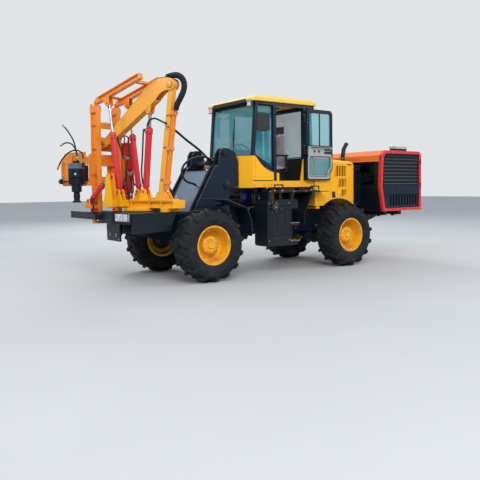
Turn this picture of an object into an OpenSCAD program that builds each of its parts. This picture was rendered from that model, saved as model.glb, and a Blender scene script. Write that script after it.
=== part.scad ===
// Pile driver rig on an articulated wheeled carrier.
// X forward, Y to the left, Z up, millimetres. Lengths along X are counted from the front axle.

/* [Wheels and axles] */
// Distance between the axles
wheelbase = 2844; // [2400:10:3200]
// Distance between the middles of the tyres of one axle
track = 1536; // [1440:4:1640]
// Outer radius of a tyre, over the lugs
tyre_r = 540; // [500:5:580]
// Width of a tyre
tyre_w = 410; // [360:5:430]
// Radius of the rim's flange
rim_r = 292; // [260:2:310]
// Lugs round one shoulder of a tyre
lug_count = 15; // [14:1:20]
// Height of a lug
lug_h = 30; // [20:1:36]
// Radius of the wheel spindle on the axle
spindle_r = 62; // [50:1:80]

/* [Chassis] */
// Half width of the main frames
frame_half_w = 300; // [250:5:330]
// Height of the frames' underside
frame_z0 = 600; // [560:5:640]
// Height of the frames' top
frame_z1 = 1000; // [940:5:1040]
// Thickness of the frame plates
plate_t = 30; // [20:1:40]
// Radius of the articulation pin
hitch_pin_r = 35; // [25:1:45]
// Half distance between the tower's outer plates
tower_half_y = 480; // [440:5:520]
// Height of the tower's horns
tower_top_z = 1990; // [1900:10:2060]
// Height of the front platform's deck
deck_z = 1035; // [1000:5:1060]

/* [Cab] */
// Half width of the cab
cab_half_w = 620; // [560:5:660]
// Front of the cab's nose, ahead of the articulation pin
cab_reach = 622; // [560:2:650]
// Length of the cab
cab_len = 1460; // [1380:10:1520]
// Underside of the cab body
cab_z_floor = 1370; // [1330:5:1400]
// Top of the roof
roof_z = 2860; // [2760:10:2900]
// Thickness of the window panes
pane_t = 8; // [6:1:12]

/* [Hood and compressor] */
// Half width of the hood
hood_half_w = 640; // [560:5:680]
// Top of the hood at its rear end
hood_z = 1820; // [1740:5:1860]
// Length of the compressor across the carrier
comp_len = 1900; // [1600:20:2000]
// Depth of the compressor along the carrier
comp_depth = 1130; // [960:10:1160]
// Height of the compressor's housing
comp_h = 1100; // [960:10:1160]
// Underside of the compressor's housing
comp_z = 920; // [900:5:960]

/* [Pile driving rig] */
// Place of the slewing centre, from the front axle
rig_x = 666; // [600:2:720]
// Angle at which the rig stands forward of straight sideways
rig_angle = 18; // [10:1:26]
// Half distance between the two mast rails
rail_half_y = 204; // [190:2:230]
// Place of the rails along the rig
rail_u = 780; // [740:5:820]
// Width of a rail
rail_w = 86; // [70:2:110]
// Depth of a rail
rail_d = 140; // [110:5:160]
// Foot of the mast
mast_z0 = 845; // [800:5:900]
// Top of the lower mast, where the upper mast folds
mast_z1 = 2665; // [2500:5:2760]
// Length of the upper mast
upper_len = 1000; // [800:10:1060]
// Slope of the folded upper mast
fold_angle = 16.5; // [10:0.5:25]
// Place of the boom's pivot along the rig
boom_u = -640; // [-680:5:-600]
// Height of the boom's pivot
boom_z = 2860; // [2800:5:2900]
// Place of the boom's tip along the rig
tip_u = 760; // [740:5:790]
// Height of the boom's tip
tip_z = 2080; // [1990:5:2140]

/* [Output] */
// Node to draw

/* [Hidden] */
$fn = 64;

// Colours
yellow = [0.95, 0.66, 0.06];
amber = [0.93, 0.55, 0.06];
orange = [0.85, 0.32, 0.08];
red = [0.80, 0.10, 0.10];
navy = [0.06, 0.07, 0.12];
black = [0.05, 0.05, 0.05];
rubber = [0.08, 0.08, 0.08];
steel = [0.75, 0.76, 0.78];
glass = [0.35, 0.50, 0.52];
fabric = [0.50, 0.47, 0.52];
pale = [0.93, 0.85, 0.55];
white = [0.92, 0.92, 0.90];

hitch_x = -wheelbase / 2;
tyre_y = track / 2;
cab_x_front = hitch_x + cab_reach;
cab_x_rear = cab_x_front - cab_len;
run_gap = 0.4; // running clearance of pins and bores
seat_gap = 0.3; // between pieces that stand on each other
fuse = 1; // how far pieces of one solid reach into each other

// A box from its lowest to its highest corner
module box(a, b) {
  translate(a) cube(b - a);
}

// The same shape on the left and on the right
module both_sides() {
  children();
  mirror([0, 1, 0]) children();
}

// A plate cut in the XZ plane, from y0 to y0 + t
module side_plate(points, y0, t) {
  translate([0, y0 + t, 0]) rotate([90, 0, 0]) linear_extrude(t) polygon(points);
}

// A plate cut in the YZ plane, from x0 to x0 + t
module cross_plate(points, x0, t) {
  translate([x0, 0, 0]) rotate([90, 0, 90]) linear_extrude(t) polygon(points);
}

// A round bar between two points
module bar(a, b, r) {
  v = b - a;
  len = norm(v);
  translate(a)
    rotate([0, acos(v[2] / len), atan2(v[1], v[0])])
      cylinder(h = len, r = r);
}

// A round bar along Y, in the middle at y
module cross_bar(x, y, z, r, len) {
  translate([x, y + len / 2, z]) rotate([90, 0, 0]) cylinder(h = len, r = r);
}

// A tube bent round the points, with a ball at each bend
module bent_bar(points, r) {
  for (i = [0:len(points) - 2])
    bar(points[i], points[i + 1], r);
  for (i = [1:1:len(points) - 2])
    translate(points[i]) sphere(r = r + 0.5);
}

// Points on an arc round c
function arc(c, r, a0, a1, n = 8) =
  [for (i = [0:n]) let (a = a0 + (a1 - a0) * i / n) c + r * [cos(a), sin(a)]];

// The arc round c that the lines from b and to a touch, seen anticlockwise
function tangent_arc(c, r, a, b, n = 12) =
  let (
    pa = a - c,
    pb = b - c,
    t0 = atan2(pb[1], pb[0]) + acos(r / norm(pb)),
    t1 = atan2(pa[1], pa[0]) - acos(r / norm(pa))
  )
  arc(c, r, t0, t1 < t0 ? t1 + 360 : t1, n);

// Outline of a lug: its foot runs from a to b, its head is round the pin at c
function lug_outline(a, b, c, r) = concat([a, b], tangent_arc(c, r, a, b));

// Wheels

carcass_r = tyre_r - lug_h;
carcass_steps = 24;
bead_r = (rim_r - 13.7) / cos(180 / carcass_steps);
// Radius and distance from the middle, from the inner bead to the outer one
carcass = [
  [bead_r, -tyre_w / 2 + 63], [rim_r + 14, -tyre_w / 2 + 24], [carcass_r - 70, -tyre_w / 2 + 5],
  [carcass_r, -tyre_w / 2 + 55], [carcass_r, tyre_w / 2 - 55], [carcass_r - 70, tyre_w / 2 - 5],
  [rim_r + 14, tyre_w / 2 - 24], [bead_r, tyre_w / 2 - 63],
];
lug_turn = 6.2; // breadth of a lug along the tread, in degrees
lug_skew = 9; // how far a lug lags behind from the middle to the shoulder, in degrees
// Radius and distance from the middle, round the section of a left lug
lug_section = [
  [tyre_r, -2], [tyre_r, tyre_w / 2 - 52], [tyre_r - 26, tyre_w / 2 - 14],
  [carcass_r - 58, tyre_w / 2 - 2.5], [carcass_r - 12, -2],
];

// Point of a wheel at an angle from straight down
function on_wheel(a, p) = [p[0] * sin(a), p[1], -p[0] * cos(a)];

// Faces of a ring or a bar of n sections of m points each
function shell_faces(n, m, steps) = [for (i = [0:steps - 1], k = [0:m - 1])
  let (j = (i + 1) % n, l = (k + 1) % m) [i * m + k, j * m + k, j * m + l, i * m + l]];

module tyre_carcass() {
  m = len(carcass);
  polyhedron(
    points = [for (i = [0:carcass_steps - 1], p = carcass) on_wheel(i * 360 / carcass_steps, p)],
    faces = shell_faces(carcass_steps, m, carcass_steps)
  );
}

// A lug of the left shoulder; its leading inner corner touches the ground
module tyre_lug() {
  m = len(lug_section);
  polyhedron(
    points = [for (i = [0, 1], p = lug_section)
      on_wheel((i - 1) * lug_turn - max(p[1], 0) / tyre_w * 2 * lug_skew, p)],
    faces = concat(shell_faces(2, m, 1), [[for (k = [0:m - 1]) k], [for (k = [0:m - 1]) 2 * m - 1 - k]])
  );
}

module tyre() {
  color(rubber) {
    tyre_carcass();
    for (i = [0:lug_count - 1]) {
      rotate([0, i * 360 / lug_count, 0]) tyre_lug();
      mirror([0, 1, 0]) rotate([0, (i + 0.5) * 360 / lug_count, 0]) tyre_lug();
    }
  }
}

rim_lip_y = tyre_w / 2 - 38; // outer edge of the rim's flange
drum_face_y = 78; // outer face of the hub drum, from the tyre's middle
drum_r = 136;
disc_y = -30; // outer face of the rim's disc
disc_t = 22;
spindle_end_y = drum_face_y - 22;

// The wheel is drawn for the left side: barrel, disc, and the hub drum closed by its face
module rim() {
  color(yellow) rotate([-90, 0, 0]) rotate_extrude()
    polygon([
      [0, spindle_end_y + 4], [spindle_r + run_gap, spindle_end_y + 4],
      [spindle_r + run_gap, disc_y - disc_t - 40], [drum_r - 14, disc_y - disc_t - 40],
      [drum_r + 20, disc_y - disc_t], [rim_r - 36, disc_y - disc_t - 14], [rim_r - 36, -rim_lip_y],
      [rim_r - 4, -rim_lip_y], [rim_r - 4, -rim_lip_y + 8], [rim_r - 14, -rim_lip_y + 22],
      [rim_r - 14, rim_lip_y - 22], [rim_r - 4, rim_lip_y - 8], [rim_r - 4, rim_lip_y],
      [rim_r - 26, rim_lip_y], [rim_r - 44, disc_y + 26], [rim_r - 62, disc_y],
      [drum_r + 14, disc_y + 12], [drum_r, disc_y + 30], [drum_r - 6, drum_face_y - 14],
      [drum_r - 22, drum_face_y - 2], [58, drum_face_y], [52, drum_face_y + 12],
      [0, drum_face_y + 12],
    ]);
}

module at_wheel(axle_x, side) {
  translate([axle_x, side * tyre_y, tyre_r]) mirror([0, side < 0 ? 1 : 0, 0]) children();
}

axle_pad_x = 110; // half length of the axle's pads under the frame
axle_notch_z = tyre_r + 100; // top of the notch that the pads fill
hub_back_y = tyre_y + disc_y - disc_t - 48;

// An axle with its differential in the middle
module axle(x) {
  color(navy) translate([x, 0, tyre_r]) {
    both_sides() rotate([-90, 0, 0]) rotate_extrude()
      polygon([
        [0, 0], [185, 0], [185, 50], [168, 95], [120, 140], [88, 200], [78, hub_back_y - 130],
        [124, hub_back_y - 90], [150, hub_back_y - 70], [150, hub_back_y], [spindle_r, hub_back_y],
        [spindle_r, tyre_y + spindle_end_y], [0, tyre_y + spindle_end_y],
      ]);
    both_sides() box([-axle_pad_x, frame_half_w - 110, 0],
      [axle_pad_x, frame_half_w, axle_notch_z - tyre_r - seat_gap]);
  }
}

// The notch that an axle's pads fill in the frame plates
module axle_notch(x) {
  box([x - axle_pad_x - 3, -frame_half_w - 1, frame_z0 - 1],
    [x + axle_pad_x + 3, frame_half_w + 1, axle_notch_z]);
}

// Rear carrier

comp_x1 = hitch_x - 2148; // front of the compressor
comp_x0 = comp_x1 - comp_depth;
frame_x0 = comp_x1 - 660; // rear end of the main frame
beam_seat_z = comp_z - 70.3; // top of the frame under the compressor's cross beams
step_z = frame_z1 + 40; // top of the frame under the cab and the hood
hitch_back = hitch_x - 260; // front end of the rear frame's plates
hitch_lug_z = [[frame_z0, 40], [frame_z1 - 40, 40]]; // height and thickness of the rear frame's lugs
cab_mount_x = [hitch_x - 338, cab_x_rear + 40];

module rear_frame() {
  color(navy) {
    difference() {
      union() {
        both_sides() side_plate([
            [hitch_back, frame_z0], [-wheelbase - 560, frame_z0], [comp_x1 - 340, 690],
            [frame_x0, beam_seat_z - 60], [frame_x0, beam_seat_z], [comp_x1 + 150, beam_seat_z],
            [comp_x1 + 210, step_z], [hitch_back, step_z],
          ], frame_half_w - plate_t, plate_t);
        box([hitch_back - plate_t, -frame_half_w + fuse, frame_z0],
          [hitch_back + fuse, frame_half_w - fuse, step_z]);
        box([-wheelbase - 400, -frame_half_w + fuse, 640], [-wheelbase - 350, frame_half_w - fuse, 760]);
        box([frame_x0, -frame_half_w + fuse, beam_seat_z - 60],
          [frame_x0 + plate_t, frame_half_w - fuse, beam_seat_z]);
        for (lug = hitch_lug_z)
          hull() {
            translate([hitch_x, 0, lug[0]]) cylinder(h = lug[1], r = 95);
            box([hitch_back - 10, -220, lug[0]], [hitch_back - 2, 220, lug[0] + lug[1]]);
          }
      }
      translate([hitch_x, 0, frame_z0 - 1])
        cylinder(h = frame_z1 - frame_z0 + 2, r = hitch_pin_r + run_gap);
      axle_notch(-wheelbase);
    }
    // Cab mounts
    for (x = cab_mount_x)
      both_sides() box([x, frame_half_w - 60, step_z - fuse], [x + 60, frame_half_w, cab_z_floor - seat_gap]);
  }
}

module engine_block() {
  color(black) {
    box([-wheelbase - 216, -260, 760], [-wheelbase + 524, 260, 1560]);
    both_sides() box([-wheelbase - 56, 250, 900], [-wheelbase + 44, frame_half_w - plate_t, 960]);
  }
}

module rear_axle() {
  axle(-wheelbase);
}

hood_x0 = -wheelbase - 381;
hood_x1 = cab_x_rear - 12;
hood_wall = 20;
hood_edge_r = 70; // rounding of the hood's top edges
hood_bend_x = hood_x1 - 370;

// Louvre panels: rear edge at the foot and at the top, front edge, foot, top, ribs
louvre_panels = [
  [-wheelbase - 186, -wheelbase - 176, -wheelbase + 84, 1560, 1740, 4],
  [-wheelbase - 186, -wheelbase - 186, -wheelbase + 14, 1370, 1510, 3],
  [-wheelbase - 186, -wheelbase - 186, -wheelbase - 46, 1210, 1320, 2],
];

// Cross section of the hood: round shoulders, grown inwards by inset
module hood_section(inset) {
  w = hood_half_w - inset;
  top = hood_z + 50 - inset;
  r = hood_edge_r - inset;
  rotate([90, 0, 90]) linear_extrude(-hood_x0 + hood_x1 - 2 * inset) polygon(concat(
    [[-w, 980], [w, 980]],
    arc([w - r, top - r], r, 0, 90),
    arc([-w + r, top - r], r, 90, 180)
  ));
}

module hood() {
  color(yellow) {
    difference() {
      intersection() {
        translate([hood_x0, 0, 0]) hood_section(0);
        side_plate([
            [hood_x0, 1050], [hood_x1, 1050], [hood_x1, hood_z + 50], [hood_bend_x, hood_z + 35],
            [hood_x0 + 60, hood_z], [hood_x0, hood_z - 40],
          ], -hood_half_w - 1, 2 * hood_half_w + 2);
      }
      difference() {
        intersection() {
          translate([hood_x0 + hood_wall, 0, 0]) hood_section(hood_wall);
          side_plate([
              [hood_x0 + hood_wall, 1000], [hood_x1 - hood_wall, 1000],
              [hood_x1 - hood_wall, hood_z + 30], [hood_bend_x, hood_z + 15],
              [hood_x0 + 60, hood_z - hood_wall], [hood_x0 + hood_wall, hood_z - 60],
            ], -hood_half_w + hood_wall, 2 * (hood_half_w - hood_wall));
        }
      }
      // Wheel arches
      translate([-wheelbase, hood_half_w + 1, tyre_r]) rotate([90, 0, 0])
        cylinder(h = 2 * hood_half_w + 2, r = tyre_r + 90);
      // Louvre openings on both sides
      for (p = louvre_panels)
        side_plate([[p[0], p[3]], [p[2], p[3]], [p[2] - 24, p[4]], [p[1] - 12, p[4]]],
          -hood_half_w - 1, 2 * hood_half_w + 2);
      // Seam between the side panel and the cap, and the latch's slot
      both_sides() {
        box([hood_x0 - 1, hood_half_w - 5, 1762], [hood_x1 + 1, hood_half_w + 1, 1770]);
        box([hood_bend_x - 4, hood_half_w - 5, 1000], [hood_bend_x + 4, hood_half_w + 1, 1770]);
        box([-wheelbase + 84, hood_half_w - 8, 1180], [-wheelbase + 154, hood_half_w + 1, 1290]);
      }
    }
    // Slanting ribs of the louvres
    both_sides() for (p = louvre_panels, i = [0:p[5] - 1])
      translate([p[1] + (p[2] - p[1]) * (i + 0.5) / p[5], hood_half_w - hood_wall / 2, p[3] - fuse])
        rotate([0, 0, 35]) translate([-3, -hood_wall * 0.55, 0])
          cube([6, hood_wall * 1.1, p[4] - p[3] + 2 * fuse]);
    // Brackets down to the frame
    both_sides() {
      box([hood_x1 - 128, frame_half_w + seat_gap, 1000], [hood_x1 - 48, hood_half_w - hood_wall + fuse, 1030]);
      box([hood_x1 - 128, hood_half_w - hood_wall - 10, 1001],
        [hood_x1 - 48, hood_half_w - hood_wall + fuse, 1180]);
    }
  }
}

radiator_x1 = hood_x0 - seat_gap;
radiator_x0 = hood_x0 - 205;

// Black surround of the radiator behind the hood, with its core and grille
module radiator() {
  color(black) {
    difference() {
      box([radiator_x0, -hood_half_w + 20, step_z + seat_gap], [radiator_x1, hood_half_w - 20, hood_z - 60]);
      box([radiator_x0 - 1, -hood_half_w + 70, 1080], [radiator_x0 + 60, hood_half_w - 70, hood_z - 110]);
      both_sides() box([radiator_x0 + 40, hood_half_w - 60, 1090], [radiator_x1 - 40, hood_half_w, hood_z - 160]);
    }
    for (i = [0:8])
      box([radiator_x0 + 10, -hood_half_w + 69, 1085 + i * 70], [radiator_x0 + 34, hood_half_w - 69, 1097 + i * 70]);
    // Exhaust with its bent tail
    bent_bar([[radiator_x0 + 70, 250, hood_z - 70], [radiator_x0 + 70, 250, 1960],
      [radiator_x0 + 40, 250, 2080], [radiator_x0 - 30, 250, 2180]], 38);
  }
}

// Cab

nose_cut = 160; // chamfer of the nose's corners, clear of the tower when the carrier bends
cab_wall = 24;
sill_z = 1880; // lower edge of the windows at the front and the rear
door_x0 = hitch_x - 548; // rear edge of the door opening
door_x1 = hitch_x - 78; // front edge of the door opening
door_z0 = 1480; // sill of the door opening
door_z1 = 2680; // head of the door
dip_z = 1610; // lowest point of the body's side in front of the door
cowl_x = cab_x_front - 150; // rear edge of the cowl ahead of the windscreen
pillar_w = 60;
head_z = roof_z - 110; // underside of the roof

module cab_outline(inset = 0) {
  polygon([
    [cab_x_rear + inset, -cab_half_w + inset],
    [cab_x_front - nose_cut + inset * 0.4, -cab_half_w + inset],
    [cab_x_front - inset, -cab_half_w + nose_cut - inset * 0.4 + inset],
    [cab_x_front - inset, cab_half_w - nose_cut + inset * 0.4 - inset],
    [cab_x_front - nose_cut + inset * 0.4, cab_half_w - inset],
    [cab_x_rear + inset, cab_half_w - inset],
  ]);
}

// Upper edge of the body's side, from the cowl down to the door and up again behind it
body_side = [
  [cab_x_rear - 1, cab_z_floor - 1], [cab_x_front + 1, cab_z_floor - 1], [cab_x_front + 1, sill_z],
  [cowl_x - 62, sill_z], [cowl_x - 95, sill_z - 36], [cowl_x - 155, sill_z - 104],
  [cowl_x - 225, sill_z - 168], [cowl_x - 300, sill_z - 214], [cowl_x - 375, sill_z - 244],
  [cowl_x - 450, dip_z + 10], [door_x1, dip_z], [door_x1, door_z0], [door_x0, door_z0],
  [door_x0 - 70, sill_z], [cab_x_rear - 1, sill_z],
];

module cab_body() {
  color(yellow) {
    difference() {
      intersection() {
        translate([0, 0, cab_z_floor]) linear_extrude(sill_z - cab_z_floor) cab_outline();
        side_plate(body_side, -cab_half_w - 1, 2 * cab_half_w + 2);
      }
      // Hollow inside, open above behind the cowl
      translate([0, 0, cab_z_floor + cab_wall])
        linear_extrude(sill_z - cab_z_floor - 2 * cab_wall) cab_outline(cab_wall);
      translate([0, 0, cab_z_floor + cab_wall]) linear_extrude(sill_z) intersection() {
        cab_outline(cab_wall);
        translate([cab_x_rear, -cab_half_w]) square([cowl_x - cab_x_rear + 1, 2 * cab_half_w]);
      }
      // Seams between the panels
      both_sides() {
        box([door_x1 + 130, cab_half_w - 5, door_z0], [cab_x_front - nose_cut, cab_half_w + 1, door_z0 + 6]);
        box([cowl_x - 60, cab_half_w - 5, door_z0], [cowl_x - 54, cab_half_w + 1, sill_z]);
      }
      // Seats of the posts beside the door
      both_sides() for (x = [mid_post_x, rear_post_x])
        box([x - pillar_w / 2 - seat_gap, cab_half_w - pillar_w - 1, door_z0 - seat_gap],
          [x + pillar_w / 2 + seat_gap, cab_half_w + 1, sill_z + 1]);
    }
    // Ribs on the nose and a step at its foot
    box([cab_x_front - 40, -cab_half_w + nose_cut + 40, cab_z_floor + 60],
      [cab_x_front + 12, cab_half_w - nose_cut - 40, cab_z_floor + 76]);
  }
}

mid_post_x = door_x1 + 84;
rear_post_x = door_x0 - 94;
// Panes of the right door: inset from the posts, foot, head
right_door_panes = [[110, 1540, 1880], [70, 2060, head_z - 90]];

// A post that leans from x0 at its foot to x1 at its head
module bar_post(x0, x1, z0, z1, w = 60) {
  side_plate([
      [x0 - w / 2, z0], [x0 + w / 2, z0], [x1 + w / 2, z1], [x1 - w / 2, z1],
    ], cab_half_w - pillar_w, pillar_w);
}

module cab_frame() {
  color(navy) {
    // Corner and middle posts
    both_sides() {
      bar_post(cowl_x - 30, cowl_x - 96, sill_z + seat_gap, head_z - 20, 48);
      bar_post(mid_post_x, mid_post_x, door_z0, head_z - 20);
      bar_post(rear_post_x, rear_post_x, door_z0, head_z - 20);
      bar_post(cab_x_rear + 40, cab_x_rear + 70, sill_z + seat_gap, head_z - 20);
      // Frame along the body's S curve
      side_plate([
          [cowl_x - 8, sill_z + seat_gap], [cowl_x - 54, sill_z + 36], [mid_post_x, dip_z + 86],
          [mid_post_x, dip_z + 56], [cowl_x - 450, dip_z + 56], [cowl_x - 290, sill_z - 170],
          [cowl_x - 130, sill_z - 60],
        ], cab_half_w - 50, 26);
      // Head rail
      box([cab_x_rear + 20, cab_half_w - pillar_w, head_z - 50], [cowl_x - 72, cab_half_w, head_z - seat_gap]);
    }
    // Header and sill across the front and the rear
    box([cowl_x - 120, -cab_half_w + fuse, head_z - 50], [cowl_x - 72, cab_half_w - fuse, head_z - seat_gap]);
    box([cab_x_rear + 20, -cab_half_w + fuse, head_z - 50], [cab_x_rear + 80, cab_half_w - fuse, head_z - seat_gap]);
    // Fixed knuckles of the left door
    for (z = door_knuckles) difference() {
      union() {
        translate([hinge_x, hinge_y, z + 71]) cylinder(h = 50, r = 15);
        box([rear_post_x + 8, cab_half_w - 2, z + 71], [hinge_x + 12, cab_half_w + 18, z + 121]);
        box([hinge_x - 12, cab_half_w + 2, z + 71], [hinge_x + 12, hinge_y, z + 121]);
      }
      translate([hinge_x, hinge_y, z + 70]) cylinder(h = 52, r = 8 + run_gap);
    }
    // Shut door on the right
    difference() {
      side_plate([
          [door_x0 + 0.5, door_z0 + seat_gap], [door_x1 - seat_gap, door_z0 + seat_gap],
          [door_x1 - seat_gap, dip_z + 7], [mid_post_x - 29, dip_z + 7], [mid_post_x - 29, head_z - 49],
          [rear_post_x + 29, head_z - 49], [rear_post_x + 29, sill_z - 24],
        ], -cab_half_w, 30);
      for (p = right_door_panes)
        box([rear_post_x + p[0], -cab_half_w - 1, p[1]], [mid_post_x - p[0], -cab_half_w + 31, p[2]]);
    }
    // Mirror on the left, on two tubes, and the slimmer one on the right
    // whose feet pass ahead of the shut door's edge
    bent_bar([[mid_post_x + 20, cab_half_w - 10, 2630], [mid_post_x + 50, hinge_y - 19, 2630],
      [mid_post_x + 64, 800, 2630], [cowl_x - 60, 800, 2560], [cowl_x - 60, 800, 2240]], 11);
    bent_bar([[mid_post_x + 20, cab_half_w - 10, 2540], [mid_post_x + 50, hinge_y - 19, 2540],
      [mid_post_x + 64, 790, 2540], [cowl_x - 60, 800, 2440]], 9);
    hull() {
      box([cowl_x - 120, 812, 2250], [cowl_x + 40, 830, 2540]);
      box([cowl_x - 160, 806, 2280], [cowl_x + 50, 836, 2510]);
    }
    bent_bar([[mid_post_x + 20, -cab_half_w + 10, 2620], [mid_post_x + 60, -800, 2620],
      [mid_post_x + 120, -800, 2590], [mid_post_x + 120, -800, 2300]], 11);
    box([mid_post_x + 104, -880, 2280], [mid_post_x + 130, -806, 2650]);
  }
}

module cab_roof() {
  color(pale) {
    // Shell with sloping shoulders
    hull() {
      box([cab_x_rear - 60, -cab_half_w - 20, head_z], [cowl_x - 30, cab_half_w + 20, head_z + 50]);
      box([cab_x_rear + 40, -cab_half_w + 80, roof_z - 20], [cowl_x - 160, cab_half_w - 80, roof_z]);
    }
    // Corners that reach forward beside the visor
    both_sides() hull() {
      box([cowl_x - 200, cab_half_w - 150, head_z], [cowl_x - 32, cab_half_w + 20, head_z + 50]);
      box([cowl_x - 200, cab_half_w - 130, head_z], [cowl_x + 20, cab_half_w - 10, head_z + 30]);
    }
  }
}

// Dark visor between the roof's front corners
module cab_visor() {
  color(black) side_plate([
      [cowl_x - 29.7, head_z], [cowl_x + 10, head_z - 24], [cowl_x + 22, head_z - 16],
      [cowl_x + 4, head_z + 38], [cowl_x - 29.7, head_z + 46],
    ], -cab_half_w + 152, 2 * (cab_half_w - 152));
}

module cab_glass() {
  color(glass) {
    // Windscreen between the front posts
    side_plate([
        [cowl_x - 26 - pane_t / 2, sill_z], [cowl_x - 26 + pane_t / 2, sill_z],
        [cowl_x - 92 + pane_t / 2, head_z - 50], [cowl_x - 92 - pane_t / 2, head_z - 50],
      ], -cab_half_w + pillar_w + seat_gap, 2 * (cab_half_w - pillar_w - seat_gap));
    // Side panes ahead of the door and behind it, and the rear pane
    both_sides() side_plate([
        [mid_post_x + 30, dip_z + 20], [cowl_x - 370, sill_z - 210], [cowl_x - 210, sill_z - 130],
        [cowl_x - 60, sill_z - 20], [cowl_x - 124, head_z - 50], [mid_post_x + 30, head_z - 50],
      ], cab_half_w - 58.3, pane_t);
    both_sides() side_plate([
        [cab_x_rear + 72, sill_z + seat_gap], [rear_post_x - 30, sill_z + seat_gap],
        [rear_post_x - 30, head_z - 50], [cab_x_rear + 102, head_z - 50],
      ], cab_half_w - 34, pane_t);
    box([cab_x_rear + 30, -cab_half_w + pillar_w + seat_gap, sill_z],
      [cab_x_rear + 30 + pane_t, cab_half_w - pillar_w - seat_gap, head_z - 50]);
    // Panes of the shut door on the right
    for (p = right_door_panes)
      box([rear_post_x + p[0], -cab_half_w + 11, p[1]], [mid_post_x - p[0], -cab_half_w + 11 + pane_t, p[2]]);
  }
}

seat_x = hitch_x - 378; // front edge of the driver's seat

module cab_interior() {
  floor_z = cab_z_floor + cab_wall + seat_gap;
  color(fabric) {
    // Plinth, cushion, back and headrest
    box([seat_x - 200, -260, floor_z], [seat_x + 200 - 1, 260, 1641]);
    hull() {
      box([seat_x - 190, -230, 1640], [seat_x + 210, 230, 1720]);
      box([seat_x - 170, -210, 1640], [seat_x + 230, 210, 1756]);
    }
    hull() {
      side_plate([
          [seat_x - 250, 1660], [seat_x - 150, 1660], [seat_x - 200, 2300], [seat_x - 270, 2300],
        ], -200, 400);
      side_plate([
          [seat_x - 250, 1680], [seat_x - 170, 1680], [seat_x - 215, 2270], [seat_x - 268, 2270],
        ], -232, 464);
    }
    box([seat_x - 275, -120, 2295], [seat_x - 205, 120, 2440]);
    both_sides() box([seat_x - 180, 236, 1900], [seat_x + 120, 290, 1935]);
    both_sides() box([seat_x - 190, 220, 1700], [seat_x - 150, 291, 1934]);
    // Dashboard, steering column and wheel
    side_plate([
        [cowl_x - 190, floor_z], [cowl_x - 40, floor_z], [cowl_x - 40, 1830], [cowl_x - 90, 1910],
        [cowl_x - 190, 1880],
      ], -240, 480);
    bar([cowl_x - 180, 0, 1850], [cowl_x - 300, 0, 1970], 30);
    translate([cowl_x - 300, 0, 1970]) rotate([0, -45, 0]) {
      rotate_extrude() translate([190, 0]) circle(r = 14, $fn = 24);
      cube([12, 380, 14], center = true);
      cylinder(h = 30, r = 42, center = true);
    }
  }
}

module work_lamps() {
  color(white) both_sides() {
    // Front lamps under the roof's corners, and the rear ones
    box([cowl_x - 40, cab_half_w - 120, head_z - 84], [cowl_x + 6, cab_half_w - 20, head_z - seat_gap]);
    box([cab_x_rear - 50, cab_half_w - 140, head_z - 80], [cab_x_rear + 10, cab_half_w - 40, head_z - seat_gap]);
  }
}

// The left door is folded back flat against the rear side
door_w = 630;
door_t = 30;
hinge_x = door_x0 - 50;
hinge_y = max(cab_half_w + 37, hood_half_w + 17);
door_edge = 40; // distance of the door's edge from the hinge line
door_knuckles = [1930, 2450];

module door_frame() {
  far_x = hinge_x - door_w;
  near_x = hinge_x - door_edge;
  color(black) {
    difference() {
      union() {
        side_plate([
            [near_x, door_z0 + 10], [near_x, door_z1], [far_x + 40, door_z1], [far_x, door_z1 - 50],
            [far_x, 1680], [far_x + 60, door_z0 + 130], [far_x + 60, door_z0 + 10],
          ], hinge_y + 2, door_t);
        for (z = door_knuckles) {
          box([near_x - 5, hinge_y - 10, z], [hinge_x, hinge_y + 15, z + 70]);
          translate([hinge_x, hinge_y, z]) cylinder(h = 70, r = 15);
        }
      }
      side_plate([
          [near_x - 45, 2070], [near_x - 45, door_z1 - 50], [far_x + 60, door_z1 - 50],
          [far_x + 45, door_z1 - 70], [far_x + 45, 2070],
        ], hinge_y - 30, 100);
      side_plate([
          [near_x - 45, door_z0 + 70], [near_x - 45, 1890], [far_x + 45, 1890], [far_x + 45, 1700],
          [far_x + 120, door_z0 + 70],
        ], hinge_y - 30, 100);
    }
    // Handle and grab bar on the inside, which faces out while the door is open
    box([far_x + 60, hinge_y + 1 + door_t, 1940], [far_x + 200, hinge_y + 14 + door_t, 1975]);
    bent_bar([[far_x + 90, hinge_y + door_t, 2040], [far_x + 90, hinge_y + door_t + 42, 2040],
      [near_x - 90, hinge_y + door_t + 42, 2040], [near_x - 90, hinge_y + door_t, 2040]], 8);
    for (z = door_knuckles)
      translate([hinge_x, hinge_y, z + 1]) cylinder(h = 135, r = 8);
  }
}

module door_glass() {
  far_x = hinge_x - door_w;
  near_x = hinge_x - door_edge;
  color(glass) {
    side_plate([[near_x - 45, 2070], [near_x - 45, door_z1 - 50], [far_x + 60, door_z1 - 50],
      [far_x + 45, door_z1 - 70], [far_x + 45, 2070]], hinge_y + 12, pane_t);
    side_plate([[near_x - 45, door_z0 + 70], [near_x - 45, 1890], [far_x + 45, 1890],
      [far_x + 45, 1700], [far_x + 120, door_z0 + 70]], hinge_y + 12, pane_t);
  }
}

// Steps, boxes and rails beside the cab
box_x0 = hitch_x - 278;
box_x1 = hitch_x + 362;
walk_z = 1290; // underside of the walkway beside the cab

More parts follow.
